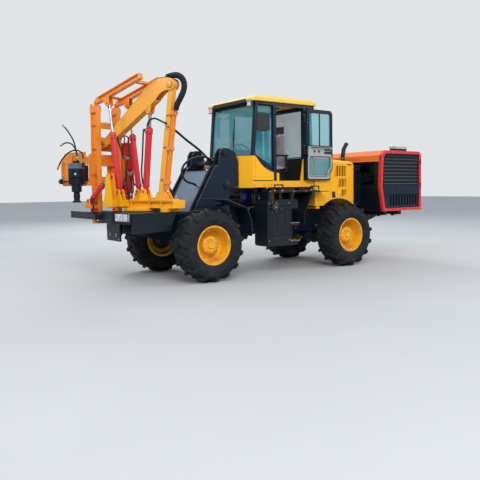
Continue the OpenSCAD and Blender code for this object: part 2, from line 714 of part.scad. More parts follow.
module side_box(recess) {
  difference() {
    hull() {
      box([box_x0 + 20, 520, 440], [box_x1 - 20, 850, 1170]);
      box([box_x0, 520, 470], [box_x1, 850, 1130]);
    }
    if (recess) {
      box([hitch_x - 340, 700, 500], [hitch_x - 118, 851, 750]);
      box([hitch_x - 340, 700, 790], [hitch_x - 118, 851, 1030]);
      // Joint between the step column and the tank
      box([hitch_x - 118, 519, 439], [hitch_x - 118 + seat_gap, 851, 1171]);
    }
    box([box_x0 + 170, 847, 500], [box_x1 - 40, 851, 508]);
  }
  // Walkway with its brackets and the mudguard plate behind it
  box([hitch_x - 818, 420, walk_z], [hitch_x + 292, 800, walk_z + 28]);
  box([box_x0, frame_half_w, 900], [box_x0 + 60, 521, 990]);
  box([box_x1 - 120, 560, 1160], [box_x1 - 70, 790, walk_z - seat_gap]);
  box([box_x0 + 40, 560, 1160], [box_x0 + 100, 790, walk_z - seat_gap]);
  difference() {
    side_plate([
        [hitch_x - 1000, walk_z + 4], [hitch_x - 990, walk_z + 16], [hitch_x - 618, walk_z + 16],
        [hitch_x - 424, 940], [hitch_x - 424, 760], [hitch_x - 436, 760], [hitch_x - 436, 930],
        [hitch_x - 626, walk_z + 4],
      ], 420, 420);
    box([hitch_x - 1001, 419, walk_z], [hood_x1 + 8, hood_half_w + 8, walk_z + 20]);
  }
  box([hitch_x - 440, 420, 764], [box_x0 - seat_gap, 560, 800]);
}

module step_box() {
  color(black) {
    side_box(true);
    // Filler cap on the front face's shoulder
    cross_bar(hitch_x + 222, 855, 1060, 62, 30);
    cross_bar(hitch_x + 222, 862, 1060, 70, 14);
    // Hoop handles that stand on the walkway
    hoop_z = walk_z + 28 + seat_gap;
    bent_bar([[hitch_x + 162, 788, hoop_z], [hitch_x + 162, 788, 1412],
      [hitch_x - 8, 788, 1412], [hitch_x - 8, 788, hoop_z]], 11);
    bent_bar([[hitch_x - 618, 788, hoop_z], [hitch_x - 618, 788, 1388],
      [hitch_x - 800, 788, 1388], [hitch_x - 800, 788, hoop_z]], 11);
  }
}

module tank_right() {
  color(black) mirror([0, 1, 0]) side_box(false);
}

// Compressor across the rear end

comp_y1 = 1000;
comp_y0 = comp_y1 - comp_len;
comp_cheek = 60; // thickness of the framed end panels
bay_z0 = comp_z + 480; // open bay in the front face
bay_z1 = comp_z + 900;
comp_rim = 50; // width of the end frames' members

module comp_end_outline(inset = 0) {
  polygon([
    [comp_x0 + inset, comp_z + inset], [comp_x1 - 50 - inset, comp_z + inset],
    [comp_x1 + 30 - inset, comp_z + 420], [comp_x1 - inset, comp_z + comp_h - 90 - inset],
    [comp_x1 - 90 - inset * 0.4, comp_z + comp_h - inset],
    [comp_x0 + 60 + inset * 0.4, comp_z + comp_h - inset],
    [comp_x0 + inset, comp_z + comp_h - 60 - inset * 0.4],
  ]);
}

module comp_slab(y0, t, inset = 0) {
  translate([0, y0 + t, 0]) rotate([90, 0, 0]) linear_extrude(t) comp_end_outline(inset);
}

module compressor_body() {
  color(orange) {
    difference() {
      comp_slab(comp_y0 + comp_cheek + seat_gap, comp_len - 2 * comp_cheek - 2 * seat_gap);
      // Open bay towards the hood, and the rebate of the lower panel
      box([comp_x1 - 460, comp_y0 + 160, bay_z0], [comp_x1 + 60, comp_y1 - 160, bay_z1]);
      box([comp_x1 - 14, comp_y0 + 60, comp_z - 1], [comp_x1 + 60, comp_y1 - 60, bay_z0]);
      side_plate([[comp_x1 - 64, comp_z - 1], [comp_x1 + 40, comp_z - 1], [comp_x1 + 40, comp_z + 420],
        [comp_x1 + 16, comp_z + 420]], comp_y0 + 60, comp_len - 120);
      // Seams between the roof's panels
      for (y = [comp_y0 + 480, comp_y0 + 960, comp_y0 + 1440])
        box([comp_x0 + 70, y, comp_z + comp_h - 5], [comp_x1 - 100, y + 8, comp_z + comp_h + 1]);
    }
    // Cap on the roof near the left end
    hull() {
      box([comp_x0 + 330, comp_y1 - 210, comp_z + comp_h - 2], [comp_x1 - 480, comp_y1 - 90, comp_z + comp_h + 50]);
      box([comp_x0 + 360, comp_y1 - 190, comp_z + comp_h], [comp_x1 - 510, comp_y1 - 110, comp_z + comp_h + 85]);
    }
  }
}

// Dark lower panel under the bay
module compressor_panel() {
  color(black) side_plate([
      [comp_x1 - 62, comp_z + 4], [comp_x1 - 52, comp_z + 4], [comp_x1 + 28, comp_z + 420],
      [comp_x1 + 26, bay_z0 - 4], [comp_x1 - 12, bay_z0 - 4], [comp_x1 + 15.6, comp_z + 420],
    ], comp_y0 + 61, comp_len - 122);
}

module compressor_ends() {
  color(red) for (y0 = [comp_y0, comp_y1 - comp_cheek]) {
    difference() {
      comp_slab(y0, comp_cheek);
      comp_slab(y0 - 1, comp_cheek + 2, comp_rim);
    }
    box([comp_x0 + 20, y0 + 4, comp_z + 320], [comp_x1 - 10, y0 + comp_cheek - 4, comp_z + 350]);
  }
}

// Slats above, a plain door in the middle and upright slots below
module compressor_louvres() {
  color(black) for (k = [0, 1]) {
    y = k * (comp_len - 2 * comp_cheek) + comp_y0 + (k == 0 ? 22 : comp_cheek + 14);
    out = k == 0 ? -1 : 1;
    difference() {
      comp_slab(y, 24, comp_rim + 0.4);
      box([comp_x0, y - 1, comp_z + 319.6], [comp_x1 + 40, y + 25, comp_z + 350.4]);
      for (i = [0:9])
        box([comp_x0 + 120 + i * 80, y - 1, comp_z + 100], [comp_x0 + 160 + i * 80, y + 25, comp_z + 290]);
    }
    for (i = [0:7])
      translate([0, y + 12 + out * 14, comp_z + 500 + i * 64]) rotate([out * 32, 0, 0])
        box([comp_x0 + 64, -14, -16], [comp_x1 - 70 - (i > 5 ? 40 : 0), 2, 16]);
  }
}

module compressor_frame() {
  color(black) {
    for (x = [comp_x1 - 610, comp_x1 - 210])
      box([x, comp_y0 + 60, comp_z - 70], [x + 90, comp_y1 - 60, comp_z - seat_gap]);
    both_sides() box([comp_x1 - 600, 150, comp_z - 69], [comp_x1 - 130, 220, comp_z - 10]);
  }
}

// Front carrier

neck_x0 = hitch_x + 330; // rear end of the front frame's plates
neck_x1 = hitch_x + 900; // where the plates reach their full spacing
neck_half_w = 110;
frame_front = 1119.7;
deck_t = 30;
tower_out = 110; // depth of the tower's fork on each side

// A frame plate of the tapered neck, seen from above
module neck_plate() {
  translate([0, 0, frame_z0]) linear_extrude(frame_z1 - frame_z0) polygon([
    [neck_x0, neck_half_w], [neck_x1, frame_half_w], [neck_x1 + 20, frame_half_w],
    [neck_x1 + 20, frame_half_w - plate_t], [neck_x1 + 10, frame_half_w - plate_t],
    [neck_x0, neck_half_w - plate_t],
  ]);
}

// Outline of the tower's plates; the lower rear edge keeps clear of the steps when the carrier bends
module tower_plate(y0, t, rear_x) {
  side_plate([
      [hitch_x + 822, frame_z0 + 60], [300, frame_z0 + 60], [300, 1000], [60, 1000], [10, 1120],
      [-330, 1700], [-400, 1740], [-430, tower_top_z - 70], [-480, tower_top_z],
      [-570, tower_top_z], [rear_x + 60, tower_top_z - 60], [rear_x, tower_top_z - 210],
      [rear_x, 1420], [hitch_x + 822, 1372],
    ], y0, t);
}

module front_frame() {
  color(navy) {
    difference() {
      union() {
        both_sides() side_plate([
            [neck_x1, frame_z0], [520, frame_z0], [frame_front, 760],
            [frame_front, deck_z - deck_t - seat_gap], [neck_x1, frame_z1],
          ], frame_half_w - plate_t, plate_t);
        both_sides() neck_plate();
        box([neck_x0 - plate_t, -neck_half_w - 20, frame_z0], [neck_x0 + fuse, neck_half_w + 20, frame_z1]);
        for (lug = hitch_lug_z)
          hull() {
            translate([hitch_x, 0, lug[0] + (lug[0] < 800 ? lug[1] + 1 : -1 - lug[1])])
              cylinder(h = lug[1], r = 95);
            translate([0, 0, lug[0] < 800 ? lug[1] + 1 : -1 - lug[1]])
              box([neck_x0 - 28, -120, lug[0]], [neck_x0 - 20, 120, lug[0] + lug[1]]);
          }
        translate([hitch_x, 0, frame_z0 - 12])
          cylinder(h = frame_z1 - frame_z0 + 24, r = hitch_pin_r);
        for (z = [frame_z0 - 20, frame_z1 + 5])
          translate([hitch_x, 0, z]) cylinder(h = 15, r = hitch_pin_r + 25);
      }
      axle_notch(0);
    }
    // Tower: on each side an outer and an inner plate with the bosses of the lifting arms
    both_sides() {
      tower_plate(tower_half_y - plate_t, plate_t, hitch_x + 652);
      tower_plate(tower_half_y - plate_t - 120, plate_t, hitch_x + 740);
      // Distance pieces between the plates
      box([-570, tower_half_y - tower_out - 12, 700], [250, tower_half_y - plate_t + fuse, 730]);
      box([-560, tower_half_y - tower_out - 12, 1500], [-530, tower_half_y - plate_t + fuse, 1560]);
      for (p = [[-500, 1925, 34], [-545, 1420, 48]])
        cross_bar(p[0], tower_half_y - 75, p[1], p[2], 178);
      for (p = [[-500, 1925, 54], [-545, 1420, 66]])
        cross_bar(p[0], tower_half_y + 6, p[1], p[2], 14);
      // Foot on the frame
      box([-560, frame_half_w - fuse, 720], [240, tower_half_y - tower_out - 39, 760]);
    }
    // Cross tube with its collars
    cross_bar(-520, 0, 1760, 52, 2 * tower_half_y - 240);
    both_sides() cross_bar(-520, tower_half_y - 165, 1760, 72, 44);
    // Sloping plate between the towers
    side_plate([
        [20, 1000], [56, 1000], [-300, 1640], [-336, 1640],
      ], -tower_half_y + 149, 2 * (tower_half_y - 149));
  }
}

module fenders() {
  color(navy) both_sides() {
    side_plate([
        [0, 1206], [0, 1220], [-204, 1210], [-584, 1080], [-674, 900], [-692, 710], [-678, 710],
        [-660, 896], [-574, 1068], [-200, 1196],
      ], 610, 340);
    // Bracket on the tower's outer plate
    box([-420, tower_half_y + seat_gap, 1100], [-360, 640, 1125]);
    side_plate([[-420, 1110], [-360, 1110], [-360, 1140], [-420, 1118]], 611, 60);
  }
}

module front_axle() {
  axle(0);
}

deck_y0 = -440;
deck_y1 = 660;
bumper_x = 1180;
lamp_y = 370;
pivot_r = 40; // slewing pivot

module platform() {
  color(black) {
    difference() {
      union() {
        box([480, deck_y0, deck_z - deck_t], [bumper_x, deck_y1, deck_z]);
        // Left skirt with its cut rear corner, right skirt
        side_plate([
            [560, 770], [560, 800], [470, 1020], [470, deck_z], [bumper_x - 20, deck_z],
            [bumper_x - 20, 750], [bumper_x - 200, 750],
          ], deck_y1 - 20, 20);
        box([480, deck_y0, 870], [bumper_x - 20, deck_y0 + 20, deck_z]);
        // Nose with the slanted faces of the lamps and the bulge in the middle
        translate([0, 0, 880]) linear_extrude(deck_z - 880) polygon([
          [bumper_x - 58, -520], [bumper_x - 58, 640], [bumper_x, 640], [bumper_x + 60, 300],
          [bumper_x + 90, 240], [bumper_x + 90, -130], [bumper_x + 50, -230], [bumper_x, -500],
        ]);
        hull() {
          box([bumper_x + 20, -110, 884], [bumper_x + 96, 250, 1052]);
          box([bumper_x + 10, -130, 884], [bumper_x + 80, 260, 1060]);
        }
        // Bar that runs on to the right, with its bracket
        box([bumper_x + 110, -1100, 932], [bumper_x + 190, -220, 1038]);
        box([bumper_x + 60, -226, 932], [bumper_x + 190, -130, 1010]);
        // Towing bracket with its two holes
        box([bumper_x - 58, -220, 620], [bumper_x - 30, 220, 890]);
        for (y = [-150, 130])
          side_plate([[bumper_x - 180, 800], [bumper_x - 40, 640], [bumper_x - 40, 900], [bumper_x - 180, 900]],
            y, 20);
        // Hub of the slewing pivot
        translate([rig_x, 0, deck_z - 110]) cylinder(h = 109, r = 90);
      }
      translate([rig_x, 0, deck_z - 120]) cylinder(h = 130, r = pivot_r + run_gap);
      for (y = [-100, 100])
        translate([bumper_x - 60, y, 710]) rotate([0, 90, 0]) cylinder(h = 40, r = 13);
      // Seam of the front cover
      box([bumper_x - 70, -600, deck_z - 4], [bumper_x - 64, deck_y1 + 1, deck_z + 1]);
    }
  }
}

module headlamps() {
  color(white) {
    translate([bumper_x + 32, 460, 975]) rotate([0, 0, 10]) hull() {
      box([0, -150, -58], [16, 160, 58]);
      box([10, -140, -48], [26, 150, 48]);
    }
    translate([bumper_x + 25.4, -365, 945]) rotate([0, 0, -10.5]) hull() {
      box([0, -125, -58], [16, 105, 58]);
      box([10, -115, -48], [26, 95, 48]);
    }
  }
}

// Rig, drawn in its own frame: u along X away from the slewing centre, v along Y

module in_rig() {
  translate([rig_x, 0, 0]) rotate([0, 0, rig_angle - 90]) children();
}

beam_u0 = -740;
beam_u1 = 650;
beam_z0 = 1090;
beam_z1 = 1205;
beam_half_w = 120;
foot_pin_z = 1330; // height of the cylinders' foot pins
foot_pin_r = 20;
fold_foot_u = 272; // foot of the two fold cylinders
lift_foot_u = -70; // foot of the lift cylinder
lift_eye_u = -190;
lift_eye_z = 2520;
column_foot_u = -415;
pitch_v = 325; // pitch cylinder, on the left of the rails
pitch_foot_u = 800;
pitch_foot_z = 1190;
pitch_eye_u = 345;
pitch_eye_z = 1570;
tip_pin_r = 24;

// A pair of upright ears, bored for a pin
module ears(u, v, z0, z_pin, gap, t, half_l, r, pad_r = 42) {
  for (s = [-1, 1])
    difference() {
      side_plate(lug_outline([u - half_l, z0], [u + half_l, z0], [u, z_pin], pad_r),
        v + s * (gap / 2 + t / 2) - t / 2, t);
      cross_bar(u, v, z_pin, r + 0.2, gap + 2 * t + 4);
    }
}

module base_beam() {
  color(yellow) in_rig() {
    // Beam of two flanges and two webs
    difference() {
      box([beam_u0, -beam_half_w, beam_z0], [beam_u1, beam_half_w, beam_z1]);
      for (s = [-1, 1])
        translate([0, s * (beam_half_w + 1) - (s > 0 ? 42 : 0), 0])
          box([beam_u0 + 24, 0, beam_z0 + 18], [beam_u1 - 24, 42, beam_z1 - 18]);
    }
    for (u = [beam_u0 + 250, -250, 120, 420])
      box([u, -beam_half_w + 4, beam_z0 + 2], [u + 16, beam_half_w - 4, beam_z1 - 2]);
    // Cross arm that carries the fold cylinders, and the arm of the pitch cylinder's eye
    box([fold_foot_u - 90, -rail_half_y - 75, beam_z0 + 20], [fold_foot_u + 90, rail_half_y + 75, beam_z1]);
    box([fold_foot_u - 20, 0, beam_z0 + 20], [fold_foot_u + 190, pitch_v + 50, beam_z1]);
    ears(pitch_eye_u, pitch_v, beam_z1 - 2, pitch_eye_z, 68, 14, 90, 14, 38);
    for (s = [-1, 1])
      ears(fold_foot_u, s * rail_half_y, beam_z1 - 2, foot_pin_z, 62, 20, 84, foot_pin_r);
    ears(lift_foot_u, 0, beam_z1 - 2, foot_pin_z, 72, 22, 92, foot_pin_r, 48);
    // Slewing ring between the beam and the deck, with its pivot
    translate([0, 0, deck_z + 0.5]) cylinder(h = beam_z0 - deck_z, r = 260);
    translate([0, 0, deck_z + 16]) cylinder(h = 22, r = 285);
    translate([0, 0, deck_z - 90]) cylinder(h = 110, r = pivot_r);
    // Foot pad at the near end
    box([-630, -beam_half_w - 20, deck_z + 1], [-500, beam_half_w + 20, beam_z0 + fuse]);
    // Bosses for levelling screws
    for (u = [beam_u0 + 60, beam_u1 - 60])
      translate([u, 0, beam_z1 - fuse]) cylinder(h = 24, r = 34);
  }
}

column_w = 74; // across the rig
column_t = 92; // along the rig
boom_pin_r = 28;
boom_w = 116; // outside of the boom's side plates
boom_plate = 14;
foot_t = 14; // thickness of the column's foot plate

module column() {
  color(amber) in_rig() {
    side_plate([
        [column_foot_u - column_t / 2, beam_z1 + 130],
        [column_foot_u - column_t / 2, beam_z1 + foot_t],
        [column_foot_u + column_t / 2, beam_z1 + foot_t],
        [column_foot_u + column_t / 2, beam_z1 + 130], [boom_u + column_t / 2, boom_z - 40],
        [boom_u - column_t / 2, boom_z - 40],
      ], -column_w / 2, column_w);
    cross_bar(boom_u, 0, boom_z, 66, column_w);
    cross_bar(boom_u, 0, boom_z, boom_pin_r, boom_w + 8);
    for (s = [-1, 1])
      cross_bar(boom_u, s * (boom_w / 2 + 5), boom_z, 44, 9);
    // Foot plate with gussets
    box([column_foot_u - 170, -100, beam_z1 + seat_gap], [column_foot_u + 130, 100, beam_z1 + foot_t + fuse]);
    both_sides() side_plate([
        [column_foot_u - 165, beam_z1 + foot_t], [column_foot_u + 125, beam_z1 + foot_t],
        [column_foot_u + 60, beam_z1 + 122], [column_foot_u - 100, beam_z1 + 122],
      ], column_w / 2 - 1, 16);
    // Straps that hold the pipes' clamps
    along_column() for (z = [150, 620, 1080])
      box([-0.1, -column_w / 2 - 5, z], [column_t - 12, column_w / 2 + 5, z + 26]);
  }
}

// Places the pipes along the column's rear face
column_lean = atan2(column_foot_u - boom_u, boom_z - 40 - beam_z1 - 130);

module along_column() {
  translate([column_foot_u - column_t / 2, 0, beam_z1 + 130]) rotate([0, -column_lean, 0]) children();
}

module column_pipes() {
  color(orange) in_rig() along_column() {
    for (i = [-1.5:1.5]) {
      translate([-42, i * 24, 60]) cylinder(h = 1140, r = 8);
      translate([-42, i * 24, 1196]) cylinder(h = 50, r = 11, $fn = 6);
      translate([-42, i * 24, 20]) cylinder(h = 50, r = 11, $fn = 6);
    }
    for (z = [110, 600, 1110])
      box([-60, -50, z], [-seat_gap, 50, z + 50]);
  }
}

// Outline of the boom: a smooth back over the column's head, a straight arm and a hollow underside
boom_outline = concat(
  arc([boom_u, boom_z], 84, 100, 270, 12),
  [
    [boom_u + 90, boom_z - 74], [boom_u + 150, boom_z - 88], [boom_u + 205, boom_z - 118],
    [boom_u + 250, boom_z - 158], [boom_u + 300, boom_z - 206],
  ],
  arc([tip_u, tip_z], 62, 230, 410, 10),
  [
    [boom_u + 470, boom_z + 4], [boom_u + 420, boom_z + 40], [boom_u + 360, boom_z + 70],
    [boom_u + 290, boom_z + 93], [boom_u + 210, boom_z + 106], [boom_u + 120, boom_z + 108],
    [boom_u + 50, boom_z + 99],
  ]
);

module boom() {
  color(amber) in_rig() {
    difference() {
      union() {
        both_sides() side_plate(boom_outline, boom_w / 2 - boom_plate, boom_plate);
        // Top flange and web between the side plates, clear of the column's head
        side_plate([
            [boom_u + 110, boom_z + 60], [boom_u + 110, boom_z + 104], [boom_u + 210, boom_z + 102],
            [boom_u + 360, boom_z + 66], [boom_u + 470, boom_z], [tip_u + 26, tip_z + 60],
            [tip_u - 4, tip_z + 26], [boom_u + 450, boom_z - 40], [boom_u + 350, boom_z + 20],
            [boom_u + 210, boom_z + 60],
          ], -boom_w / 2 + boom_plate - 1, boom_w - 2 * boom_plate + 2);
        side_plate([
            [boom_u + 300, boom_z - 190], [tip_u - 60, tip_z + 10], [tip_u - 80, tip_z - 20],
            [boom_u + 300, boom_z - 204],
          ], -boom_w / 2 + boom_plate - 1, boom_w - 2 * boom_plate + 2);
        // Bosses at both ends
        for (s = [-1, 1]) {
          cross_bar(boom_u, s * (boom_w / 2 - boom_plate / 2), boom_z, 62, boom_plate);
          cross_bar(tip_u, s * (boom_w / 2 - boom_plate / 2), tip_z, 56, boom_plate);
        }
        // Clevis under the boom for the lift cylinder
        for (s = [-1, 1])
          side_plate(lug_outline([lift_eye_u + 80, boom_z - 250], [lift_eye_u - 120, boom_z - 92],
            [lift_eye_u, lift_eye_z], 38), s * 44 - 9, 18);
      }
      cross_bar(boom_u, 0, boom_z, boom_pin_r + run_gap, boom_w + 20);
      cross_bar(tip_u, 0, tip_z, tip_pin_r + run_gap, boom_w + 20);
      cross_bar(lift_eye_u, 0, lift_eye_z, 14, 140);
    }
  }
}

rail_u0 = rail_u - rail_d / 2;
rail_u1 = rail_u + rail_d / 2;
fold_u = rail_u0 + 35;
fold_z = mast_z1 + 45;
rail_web = 18; // half thickness of the web of a rail
rail_flange = 14;

module mast_rails() {
  color(orange) in_rig() {
    // Rails of I section
    for (s = [-1, 1])
      difference() {
        box([rail_u0, s * rail_half_y - rail_w / 2, mast_z0], [rail_u1, s * rail_half_y + rail_w / 2, mast_z1]);
        for (k = [-1, 1])
          translate([0, s * rail_half_y + k * (rail_web / 2 + rail_w / 2), 0])
            box([rail_u0 + rail_flange, -rail_w / 2, mast_z0 + 40],
              [rail_u1 - rail_flange, rail_w / 2, mast_z1 - 110]);
      }
    for (z = [[mast_z0 + 30, 90], [1440, 130], [1740, 50], [2330, 90]])
      box([rail_u1 - 60, -rail_half_y, z[0]], [rail_u1, rail_half_y, z[0] + z[1]]);
    // Stiffeners across the rails' hollows
    for (s = [-1, 1], z = [1180, 1600, 2000, 2360])
      box([rail_u0 + 2, s * rail_half_y - rail_w / 2 + 6, z], [rail_u1 - 2, s * rail_half_y + rail_w / 2 - 6, z + 12]);
    // Bracket and pin of the boom's tip
    box([rail_u1 - 16, -rail_half_y, tip_z - 110], [rail_u1, rail_half_y, tip_z + 110]);
    for (s = [-1, 1])
      side_plate(lug_outline([rail_u1 - 14, tip_z - 90], [rail_u1 - 14, tip_z + 90], [tip_u, tip_z], 46),
        s * (boom_w / 2 + 13) - 8, 16);
    cross_bar(tip_u, 0, tip_z, tip_pin_r, boom_w + 46);
    // Foot of the pitch cylinder
    box([rail_u - 40, rail_half_y + rail_web / 2 - 2, pitch_foot_z - 100],
      [pitch_foot_u + 60, pitch_v + 48, pitch_foot_z - 70]);
    ears(pitch_foot_u, pitch_v, pitch_foot_z - 72, pitch_foot_z, 68, 14, 55, foot_pin_r, 38);
    // Fold hinge lugs, and the holes of the locking pins beside them
    for (s = [-1, 1])
      difference() {
        translate([0, s * rail_half_y - 15, 0]) hull() {
          cross_bar(fold_u, 15, fold_z, 32, 30);
          box([rail_u0 + 2, 0, mast_z1 - 20], [rail_u + 20, 30, mast_z1 - 10]);
        }
        cross_bar(fold_u, s * rail_half_y, fold_z, 14 + run_gap, 40);
      }
    for (s = [-1, 1])
      difference() {
        side_plate([[rail_u + 30, mast_z1 - 60], [rail_u1 + 12, mast_z1 - 115], [rail_u1 + 12, mast_z1 - 20],
          [rail_u + 66, mast_z1 + 24], [rail_u + 30, mast_z1 + 24]], s * (rail_half_y + 36) - 8, 16);
        cross_bar(rail_u + 56, s * (rail_half_y + 36), mast_z1 - 44, 15, 40);
      }
  }
}

module at_fold() {
  translate([fold_u, 0, fold_z]) rotate([0, fold_angle, 0]) children();
}

// The beams line up with the rails once the mast is unfolded
beam_d = 84;
beam_n0 = -30; // underside of the folded beams, from the hinge line
cross_x = 710; // from the hinge line to the beams' cross plates
fold_eye_u = 466;
fold_eye_z = 2662;

module upper_mast() {
  color(orange) in_rig() {
    at_fold() {
      for (s = [-1, 1]) {
        difference() {
          box([-upper_len, s * rail_half_y - rail_w / 2, beam_n0],
            [-50, s * rail_half_y + rail_w / 2, beam_n0 + beam_d]);
          for (k = [-1, 1])
            translate([0, s * rail_half_y + k * (rail_web / 2 + rail_w / 2), 0])
              box([-upper_len + 20, -rail_w / 2, beam_n0 + 12], [-90, rail_w / 2, beam_n0 + beam_d - 12]);
        }
        // Cheeks and pin of the fold hinge
        for (k = [-1, 1])
          side_plate(lug_outline([-52, beam_n0 + beam_d], [-52, beam_n0], [0, 0], 30),
            s * rail_half_y + k * 27 - 8, 16);
        cross_bar(0, s * rail_half_y, 0, 14, 76);
      }
      // Cross plates above the boom's back, clear of it while the mast leans
      box([-cross_x - 90, -rail_half_y, beam_n0 + 44], [-cross_x - 74, rail_half_y, beam_n0 + beam_d]);
      box([-cross_x - 90, -rail_half_y, beam_n0 + beam_d - 16], [-cross_x, rail_half_y, beam_n0 + beam_d]);
      box([-180, -rail_half_y, beam_n0 + beam_d - 14], [-110, rail_half_y, beam_n0 + beam_d]);
    }
    // Ears of the fold cylinders' rods
    for (s = [-1, 1], k = [-1, 1])
      translate([0, s * rail_half_y + k * 41 - 7, 0]) difference() {
        hull() {
          cross_bar(fold_eye_u, 7, fold_eye_z, 38, 14);
          translate([fold_u, 0, fold_z]) rotate([0, fold_angle, 0])
            box([-320, 0, beam_n0 + 2], [-180, 14, beam_n0 + 10]);
        }
        cross_bar(fold_eye_u, 7, fold_eye_z, 14, 20);
      }
  }
}

// Slide on the front of the rails with its two swinging arms
slide_u = rail_u1 + 0.5;
swing_u = slide_u + 50;
swing_v = rail_half_y + rail_w / 2 + 30;
swing_z = [1450, 1830]; // heights of the slide's knuckles
arm_len = 570;
arm_z0 = 1430;
arm_z1 = 1955;
arm_round = 130; // rounding of the arm's top outer corner

module tool_slide() {
  color(orange) in_rig() {
    difference() {
      box([slide_u, -rail_half_y - 70, 1430], [slide_u + 24, rail_half_y + 70, 1920]);
      box([slide_u - 1, -90, 1560], [slide_u + 25, 90, 1790]);
    }
    for (z = [1470, 1850])
      box([slide_u + 23, -rail_half_y - 20, z], [slide_u + 60, rail_half_y + 20, z + 24]);
    for (s = [-1, 1], z = swing_z)
      difference() {
        hull() {
          translate([swing_u, s * swing_v, z]) cylinder(h = 40, r = 26);
          box([slide_u, s * (rail_half_y + 45) - 20, z], [slide_u + 24, s * (rail_half_y + 45) + 20, z + 40]);
        }
        translate([swing_u, s * swing_v, z - 1]) cylinder(h = 42, r = 12 + run_gap);
      }
  }
}

drill_u = 935;
drill_v = 470;
drill_r = 122;
arm_u1 = swing_u + arm_len;

module drill_arm() {
  color(orange) in_rig() {
    for (z = [swing_z[0] + 45, swing_z[1] - 55])
      hull() {
        translate([swing_u, swing_v, z]) cylinder(h = 50, r = 26);
        box([swing_u + 30, swing_v + 4, z], [swing_u + 60, swing_v + 28, z + 50]);
      }
    translate([swing_u, swing_v, swing_z[0] - 10]) cylinder(h = 440, r = 12);
    for (z = [swing_z[0] - 16, swing_z[1] + 44])
      translate([swing_u, swing_v, z]) cylinder(h = 12, r = 20);
    // Plate with a rounded top corner, flanged edges and a rib
    side_plate(concat([[swing_u + 30, arm_z1], [swing_u + 30, arm_z0], [arm_u1 - 20, arm_z0], [arm_u1, arm_z0 + 20]],
      arc([arm_u1 - arm_round, arm_z1 - arm_round], arm_round, 0, 90, 10)), swing_v + 4, 24);
    box([arm_u1 - 24, swing_v + 4, arm_z0 + 30], [arm_u1, swing_v + 64, arm_z1 - arm_round]);
    box([swing_u + 40, swing_v + 27, arm_z0 + 2], [arm_u1 - 30, swing_v + 64, arm_z0 + 26]);
    box([swing_u + 300, swing_v + 27, arm_z0 + 25], [swing_u + 316, swing_v + 52, arm_z1 - 40]);
  }
}

// The socket for an auger opens downwards
drill_z0 = 1175;
socket_r = 32;
socket_len = 90;

module drill_head() {
  color(black) in_rig() {
    translate([drill_u, drill_v, 0]) {
      difference() {
        rotate_extrude() polygon([
          [0, drill_z0], [62, drill_z0], [62, drill_z0 + 26], [46, drill_z0 + 32], [46, 1330],
          [76, 1340], [76, 1432], [98, 1440], [108, 1452], [108, 1552], [drill_r - 4, 1560],
          [drill_r, 1570], [drill_r, 1740], [drill_r - 10, 1758], [92, 1772], [58, 1780], [0, 1782],
        ]);
        translate([0, 0, drill_z0 - 1]) cylinder(h = socket_len + 1, r = socket_r);
      }
      // Boss of the side handle
      bar([40, -70, 1500], [105, -70, 1500], 22);
      // Motor and hose fittings on the cover
      translate([0, 0, 1778]) cylinder(h = 30, r = 54);
      for (p = [[0, -20], [-70, 30]])
        translate([p[0], p[1], 1760]) cylinder(h = 54, r = 19, $fn = 6);
      bar([-100, -30, 1700], [-130, -30, 1735], 16);
      translate([-130, -30, 1722]) cylinder(h = 52, r = 17, $fn = 6);
      for (a = [0:45:315])
        rotate([0, 0, a]) translate([drill_r - 12, 0, 1545]) cylinder(h = 30, r = 9, $fn = 6);
    }
    box([drill_u - 80, swing_v + 28 + seat_gap, 1500], [drill_u + 80, drill_v, 1740]);
  }
}

// Shaft of the drill's side handle with its valve block
module drill_handle() {
  color(steel) in_rig() {
    bar([drill_u + 105.3, 400, 1500], [arm_u1 - 10, 400, 1500], 12);
    box([arm_u1 - 94, 380, 1462], [arm_u1 - 50, 420, 1540]);
    bar([arm_u1 - 72, swing_v + 28 + seat_gap, 1500], [arm_u1 - 72, 385, 1500], 14);
  }
}

hammer_u = 830;
hammer_v = -480;
hammer_half_u = 95;
hammer_half_v = 85;

module hammer_arm() {
  color(orange) in_rig() {
    for (z = [swing_z[0] + 45, swing_z[1] - 55])
      hull() {
        translate([swing_u, -swing_v, z]) cylinder(h = 50, r = 26);
        box([hammer_u + 40, -swing_v - 60, z], [hammer_u + 60, -swing_v - 30, z + 50]);
      }
    translate([swing_u, -swing_v, swing_z[0] - 10]) cylinder(h = 440, r = 12);
    box([hammer_u - 90, -swing_v - 64, 1440], [hammer_u + 80, -swing_v - 44, 1900]);
  }
}

module hammer() {
  color(red) in_rig() {
    // Guide posts, housing with chamfers, striking piston and cap
    difference() {
      box([hammer_u - 70, hammer_v - 60, 1300], [hammer_u + 70, hammer_v + 60, 2125]);
      for (s = [-1, 1])
        translate([0, s > 0 ? 36 : -62, 0])
          box([hammer_u - 44, hammer_v, 1340], [hammer_u + 44, hammer_v + 26, 2085]);
    }
    hull() {
      box([hammer_u - hammer_half_u, hammer_v - hammer_half_v + 20, 1700],
        [hammer_u + hammer_half_u, hammer_v + hammer_half_v - 20, 1930]);
      box([hammer_u - hammer_half_u + 20, hammer_v - hammer_half_v, 1720],
        [hammer_u + hammer_half_u - 20, hammer_v + hammer_half_v, 1910]);
    }
    box([hammer_u - 70, hammer_v + 40, 1480], [hammer_u + 70, -swing_v - 64 - seat_gap, 1860]);
    translate([hammer_u, hammer_v, 1190]) cylinder(h = 111, r = 50);
    translate([hammer_u, hammer_v, 1222]) cylinder(h = 40, r = 72);
    box([hammer_u - 82, hammer_v - 72, 2100], [hammer_u + 82, hammer_v + 72, 2126]);
    for (s = [-1, 1])
      bar([hammer_u + s * 50, hammer_v, 2120], [hammer_u + s * 50, hammer_v, 2160], 16);
  }
}

// Hydraulic cylinders

